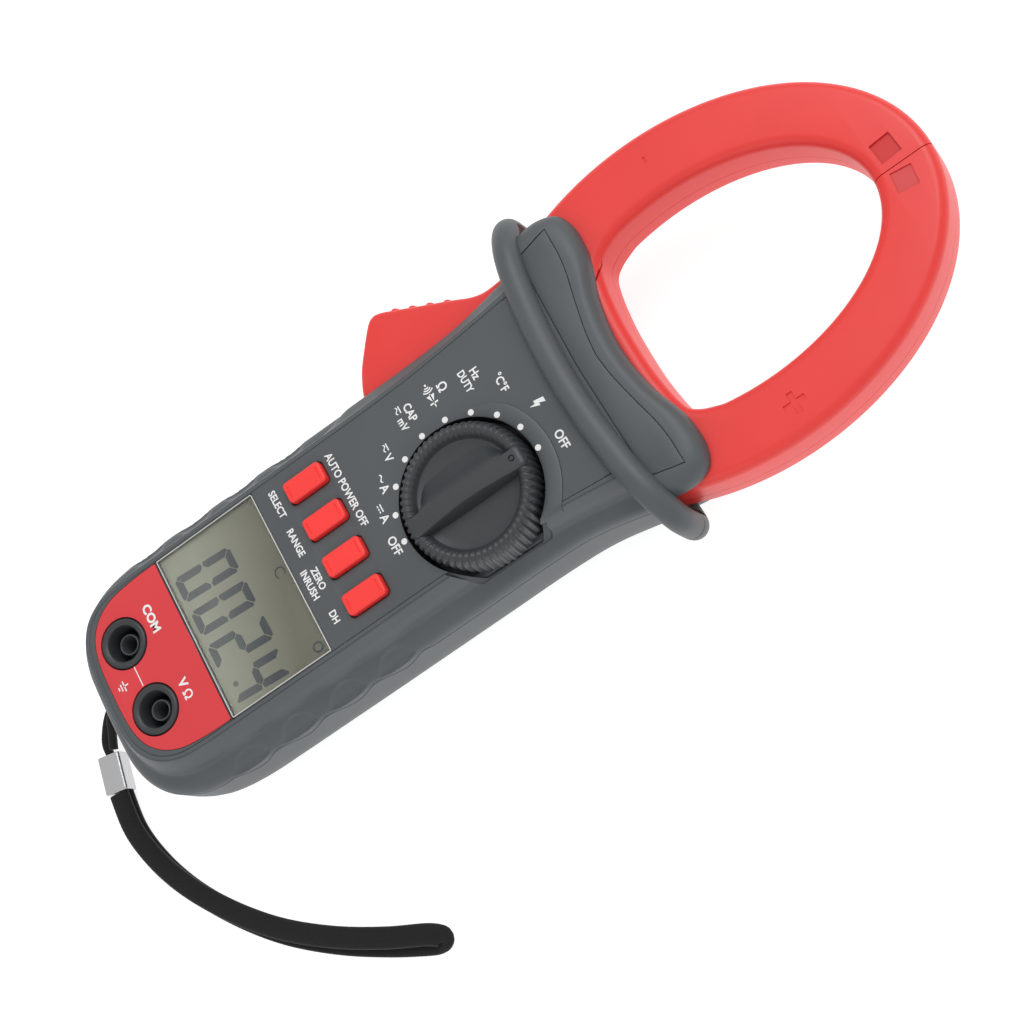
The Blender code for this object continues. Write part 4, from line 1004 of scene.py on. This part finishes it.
def outer_line():
    """The jaws' outside, with the foot that goes into the case."""
    side = arc(OUTER_CENTRE, OUTER_RADII, -27.5, 90, 100)
    return mirrored([(0, 20.6), (30.0, 20.6), (34.6, 23.6), (36.3, 28.4), (37.3, 32.4)] + side)


TRIGGER_TOP, TRIGGER_TIP = Vector((-37.2, 9.8)), Vector((-46.0, -7.4))


def trigger_line():
    edge = smooth([(-34.2, 24.0), (-33.9, 18.0), (-34.9, 14.0), (-37.1, 9.8), (-41.4, 1.3), (-45.4, -6.6),
                   (-46.2, -8.6), (-46.4, -10.0), (-45.7, -11.8), (-43.6, -13.8), (-40.2, -16.5),
                   (-36.6, -19.2), (-33.5, -20.9), (-31.0, -22.0), (-29.2, -22.4), (-28.0, -21.2)], 5)
    return edge + [(-26.6, -12.0), (-25.0, 2.0), (-22.5, 11.0), (-19.0, 18.0), (-20.5, 24.0)]


def trigger():
    """The lever that opens the jaws, with four ridges for the thumb on its upper edge."""
    for half, low, high in (("front", SEAM + 0.07, 60), ("rear", -10, SEAM - 0.07)):
        lever = plate(f"lever_{half}", trigger_line(), TRIGGER_REAR, TRIGGER_FRONT, JAW_LOOK, 1.5, 6,
                      sharp=35)
        shape(lever, "INTERSECT", [block("half", (-90, -90, low), (90, 90, high))], sharp=35)
        ride(lever, "moving_jaw", "jaw_red")
    along = (TRIGGER_TIP - TRIGGER_TOP).normalized()
    out = Vector((along.y, -along.x))
    ribs = []
    for index in range(4):
        middle = TRIGGER_TOP + along * (2.2 + 4.75 * index) - out * 0.25
        rings = []
        for share in (0.0, 0.04, 0.12, 0.88, 0.96, 1.0):
            grow = {0.0: 0.55, 0.04: 0.8, 0.12: 1.0}[min(share, round(1 - share, 2))]
            ring = []
            for a, b in oval(1.25 * grow, 1.05 * grow, 20):
                place = middle + along * a + out * b
                ring.append((place.x, place.y, 20.6 + 9.8 * share))
            rings.append(ring)
        ribs.append(skin("rib", rings))
    ridges = joined("lever_ridges", ribs, JAW_LOOK)
    finish_mesh(ridges, 40)
    ride(ridges, "moving_jaw", "jaw_red")


def hub_region(radius, widen):
    """Everything on the moving jaw's side of the splits at the tip and at the aperture's base."""
    start = math.degrees(math.atan2(44.4 - PIVOT[1], -20.2 - PIVOT[0]))
    hub = arc(PIVOT, (radius, radius), -60, start, 24)
    return hub + [(-22.9 + widen * 0.3, 46.9), (-15.0, 56.0), (TIP_SPLIT - widen, 70.0),
                  (TIP_SPLIT - widen, 140.0),
                  (-80, 140.0), (-80, -40)]


def jaws():
    """Two hollow-core arms that meet at the tip, each a front and a rear moulding with rounded edges."""
    for side, body in (("moving", "moving_jaw"), ("fixed", "case")):
        for half, low, high in (("front", SEAM + 0.07, JAW_FRONT), ("rear", JAW_REAR, SEAM - 0.07)):
            name = f"{side}_arm_{half}"
            ring = plate(name, [outer_line(), aperture_line()], JAW_REAR, JAW_FRONT, JAW_LOOK, 2.6, 7,
                         sharp=35)
            keep_low, keep_high = (low, 60) if half == "front" else (-10, high)
            if side == "moving":
                region = plate("region", hub_region(HUB_RADIUS, 0.12), keep_low, keep_high)
                shape(ring, "INTERSECT", [region], sharp=35)
            else:
                region = plate("region", hub_region(HUB_RADIUS + 0.4, -0.12), -20, 80)
                cut(ring, region, sharp=35)
                shape(ring, "INTERSECT", [block("half", (-90, -90, keep_low), (90, 190, keep_high))],
                      sharp=35)
            hidden = [block("hidden", (-60, -10, -10), (60, 27.6, 60))]
            cut(ring, *hidden, sharp=35)
            if half == "front":
                marks = []
                if side == "moving":
                    marks.append(tilted_square((-2.95, 115.6), 5.6, 4, 32.9))
                    marks.append(plate("minus", rounded(-37.0, -35.2, 67.7, 68.3, 0.1), 33.3, 60))
                else:
                    marks.append(tilted_square((5.95, 115.4), 5.4, -8, 33.15))
                    marks.append(plate("plus_a", rounded(32.7, 38.4, 66.5, 68.0, 0.15), 33.2, 60))
                    marks.append(plate("plus_b", rounded(34.8, 36.3, 64.4, 70.1, 0.15), 33.2, 60))
                cut(ring, *marks, sharp=35)
            ring.data.materials.clear()
            ring.data.materials.append(JAW_LOOK)
            ride(ring, body, "jaw_red", f"{side}_jaw_{half}")


def mark_floors():
    """The floors of the two sunk squares beside the tip, in jaw red darkened as painted shade of the
    recesses, the deeper recess darker.
    """
    for name, body, centre, size, degrees, level, look in (
            ("moving_mark_shade_floor", "moving_jaw", (-2.95, 115.6), 5.5, 4, 32.9, PAINTED_SHADE_DEEP_LOOK),
            ("fixed_mark_shade_floor", "case", (5.95, 115.4), 5.3, -8, 33.15, PAINTED_SHADE_PALE_LOOK)):
        floor = tilted_square(centre, size, degrees, level - 0.1, level + 0.04)
        floor.name = name
        floor.data.materials.append(look)
        ride(floor, body, "jaw_red")


def tilted_square(centre, size, degrees, level, top=60):
    spin = Matrix.Rotation(math.radians(degrees), 2)
    half = size / 2
    outline = [tuple(spin @ Vector(p) + Vector(centre)) for p in rounded(-half, half, -half, half, 0.2, 2)]
    return plate("square", outline, level, top)


# ---------------------------------------------------------------- wrist strap

LUG = (-13.0, -119.5, 5.6)
CRIMP_START, CRIMP_END = (-0.6, -140.6), (9.6, -142.8)
STRAP_ROUTE = [
    (9.9, -142.9), (20.0, -143.5), (29.5, -141.6), (39.0, -137.8), (48.3, -132.2),
    (57.8, -124.8), (66.4, -116.2), (74.8, -105.0), (81.6, -93.4), (86.4, -83.4),
]
STRAND_PITCH = 2.6


def band_route():
    upper = [(x, y, 3.95) for x, y in STRAP_ROUTE]
    lower = []
    for index, (x, y) in enumerate(STRAP_ROUTE):
        slip = 2.4 * (index / (len(STRAP_ROUTE) - 1)) ** 1.5
        lower.append((x + 0.88 * slip, y - 0.48 * slip, 3.95 - STRAND_PITCH))
    end = Vector(STRAP_ROUTE[-1])
    fold = [(end.x + 2.1, end.y + 3.1, 3.5), (end.x + 3.0, end.y + 3.4, 2.6), (end.x + 3.2, end.y + 2.0, 1.7)]
    return upper + fold + lower[::-1]


def loop_route():
    x, y, z = LUG
    start = Vector(CRIMP_START) - (Vector(CRIMP_END) - Vector(CRIMP_START)).normalized() * 0.8
    out = [(start.x, start.y + 1.6, 3.9), (start.x - 4.0, start.y + 3.4, 4.2), (x + 3.6, -134.5, 5.2),
           (x + 1.4, -128.5, 7.0), (x + 1.2, -123.4, 8.3), (x + 0.9, y, z + 2.9)]
    back = [(x + 0.3, y + 2.6, z + 1.2), (x - 0.4, y + 2.7, z - 1.2), (x - 1.2, y, z - 3.0),
            (x - 1.6, -124.0, 1.9), (x - 1.2, -130.0, 1.5), (x + 1.2, -136.4, 1.5),
            (start.x - 4.4, start.y - 0.6, 1.5),
            (start.x, start.y - 1.2, 1.5)]
    return out + back


def evenly(route, step):
    """Points this far apart along a route."""
    points = [Vector(p) for p in route]
    found, carried = [points[0]], 0.0
    for a, b in zip(points, points[1:]):
        length = (b - a).length
        place = step - carried
        while place < length:
            found.append(a.lerp(b, place / length))
            place += step
        carried = (carried + length) % step
    return found + [points[-1]]


def braid(name, route, width, height, step, yarn, look):
    """A flat braided cord along a route: rows of small crossing yarns that show as ridges."""
    points = evenly(route, step)
    rings, side_count = [], 40
    travelled = 0.0
    for i, point in enumerate(points):
        before, after = points[max(i - 1, 0)], points[min(i + 1, len(points) - 1)]
        along = (after - before).normalized()
        flat = Vector((along.y, -along.x, 0))
        across = flat.normalized() if flat.length > 0.2 else Vector((0.88, -0.48, 0))
        above = across.cross(along).normalized()
        ring = []
        for k in range(side_count):
            angle = 2 * math.pi * k / side_count
            c, s = math.cos(angle), math.sin(angle)
            a = width / 2 * math.copysign(abs(c) ** 0.75, c)
            b = height / 2 * math.copysign(abs(s) ** 0.75, s)
            phase = travelled / yarn + abs(a) / yarn * 0.9
            weave = 0.11 * math.sin(2 * math.pi * phase) + 0.05 * math.cos(2 * math.pi * a / 1.15)
            grow = 1 + weave / (height / 2) * 0.35
            ring.append(tuple(point + across * a * (1 + weave * 0.03) + above * b * grow))
        rings.append(ring)
        travelled += step
    return skin(name, rings, look, sharp=60)


def strap():
    band_line = smooth(band_route(), 8)
    band = braid("wrist_band", band_line, 5.7, 2.3, 0.3, 1.05, STRAP_LOOK)
    ride(band, "case", "strap_cord", "strap_band")
    loop_line = smooth(loop_route(), 8)
    loop = braid("wrist_loop", loop_line, 2.3, 2.0, 0.25, 0.8, STRAP_LOOK)
    ride(loop, "case", "strap_cord", "strap_loop")
    along = (Vector(CRIMP_END) - Vector(CRIMP_START)).normalized()
    rings = []
    for share in (0.0, 0.03, 0.06, 0.94, 0.97, 1.0):
        swell = 0.0 if 0.03 <= share <= 0.97 else -0.12
        place = Vector(CRIMP_START).lerp(Vector(CRIMP_END), share)
        across = Vector((along.y, -along.x))
        ring = []
        for a, b in rounded(-3.5 - swell, 3.5 + swell, 0.02 - swell, 5.4 + swell, 0.9, 5):
            ring.append((place.x + across.x * a, place.y + across.y * a, b))
        rings.append(ring)
    sleeve = skin("crimp_sleeve", rings, STEEL_LOOK, sharp=40)
    ride(sleeve, "case", "steel", "strap_crimp")


# ---------------------------------------------------------------- what stays from the CAD

def carried_over():
    looks = {
        "battery": STEEL_LOOK, "battery_snap": BLACK_LOOK, "battery_cover_screw": STEEL_LOOK,
        "strap_bar": STEEL_LOOK,
        "case_screw_1": STEEL_LOOK, "case_screw_2": STEEL_LOOK, "case_screw_3": STEEL_LOOK,
        "case_screw_4": STEEL_LOOK, "crystal": STEEL_LOOK, "detent_ball": STEEL_LOOK,
        "jaw_spring": STEEL_LOOK,
        "pivot_pin": STEEL_LOOK, "display_frame": WHITE_LOOK, "backlight": WHITE_LOOK,
        "wiper_disc": WHITE_LOOK,
        "input_fuse": WHITE_LOOK, "contact_strip": BLACK_LOOK, "key_mat": BLACK_LOOK,
        "meter_chip": BLACK_LOOK,
        "buzzer": BLACK_LOOK, "hall_sensor": BLACK_LOOK, "main_board": BOARD_LOOK,
        "wiper_contact": BRASS_LOOK,
        "moving_core": IRON_LOOK, "fixed_core": IRON_LOOK, "base_core": IRON_LOOK,
    }
    for name, look in looks.items():
        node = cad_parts[name]
        node.data.materials.clear()
        node.data.materials.append(look)


# ---------------------------------------------------------------- light, floor and camera

def area_light(name, place, target, size, power, size_y=None):
    light = bpy.data.lights.new(name, "AREA")
    light.energy = power
    light.size = size
    if size_y:
        light.shape = "RECTANGLE"
        light.size_y = size_y
    obj = bpy.data.objects.new(name, light)
    bpy.context.scene.collection.objects.link(obj)
    obj.location = place
    obj.rotation_euler = (Vector(target) - Vector(place)).to_track_quat("-Z", "Y").to_euler()
    return obj


def studio():
    bm = bmesh.new()
    bmesh.ops.create_grid(bm, x_segments=1, y_segments=1, size=3)
    floor = new_object("floor", mesh_of(bm, "floor"))
    floor.location.z = -0.0003
    look, _, bsdf = shader("floor", (0.5, 0.5, 0.5), 0.9, specular=0.1)
    bsdf.inputs["Emission Color"].default_value = (1, 1, 1, 1)
    bsdf.inputs["Emission Strength"].default_value = FLOOR_LIGHT
    bpy.context.scene.view_settings.view_transform = "Standard"
    floor.data.materials.append(look)
    world = bpy.data.worlds.new("studio")
    bpy.context.scene.world = world
    world.use_nodes = True
    world.node_tree.nodes["Background"].inputs["Color"].default_value = (1, 1, 1, 1)
    world.node_tree.nodes["Background"].inputs["Strength"].default_value = WORLD_LIGHT
    area_light("key", (-0.5, 0.6, 1.2), (0, 0, 0.02), 0.8, 8)
    area_light("side", (0.9, -0.7, 0.9), (0, -0.02, 0.02), 0.7, 1.5)
    camera = bpy.data.cameras.new("camera")
    obj = bpy.data.objects.new("camera", camera)
    bpy.context.scene.collection.objects.link(obj)
    bpy.context.scene.camera = obj
    focal_share = 2.1484
    camera.sensor_width = 36
    camera.lens = 36 * focal_share
    place = Vector((0.19662, 0.12052, 0.50866))
    right = Vector((0.46315, 0.79983, -0.38179)).normalized()
    forward = Vector((-0.34115, -0.23670, -0.90972)).normalized()
    down = forward.cross(right)
    right = down.cross(forward)
    turn = Matrix((right, -down, -forward)).transposed()
    obj.matrix_world = Matrix.Translation(place) @ turn.to_4x4()


front_grip()
shoulder_and_guard()
rear_case()
face()
keys()
display()
legends()
jacks()
selector()
jaws()
mark_floors()
trigger()
strap()
carried_over()
studio()
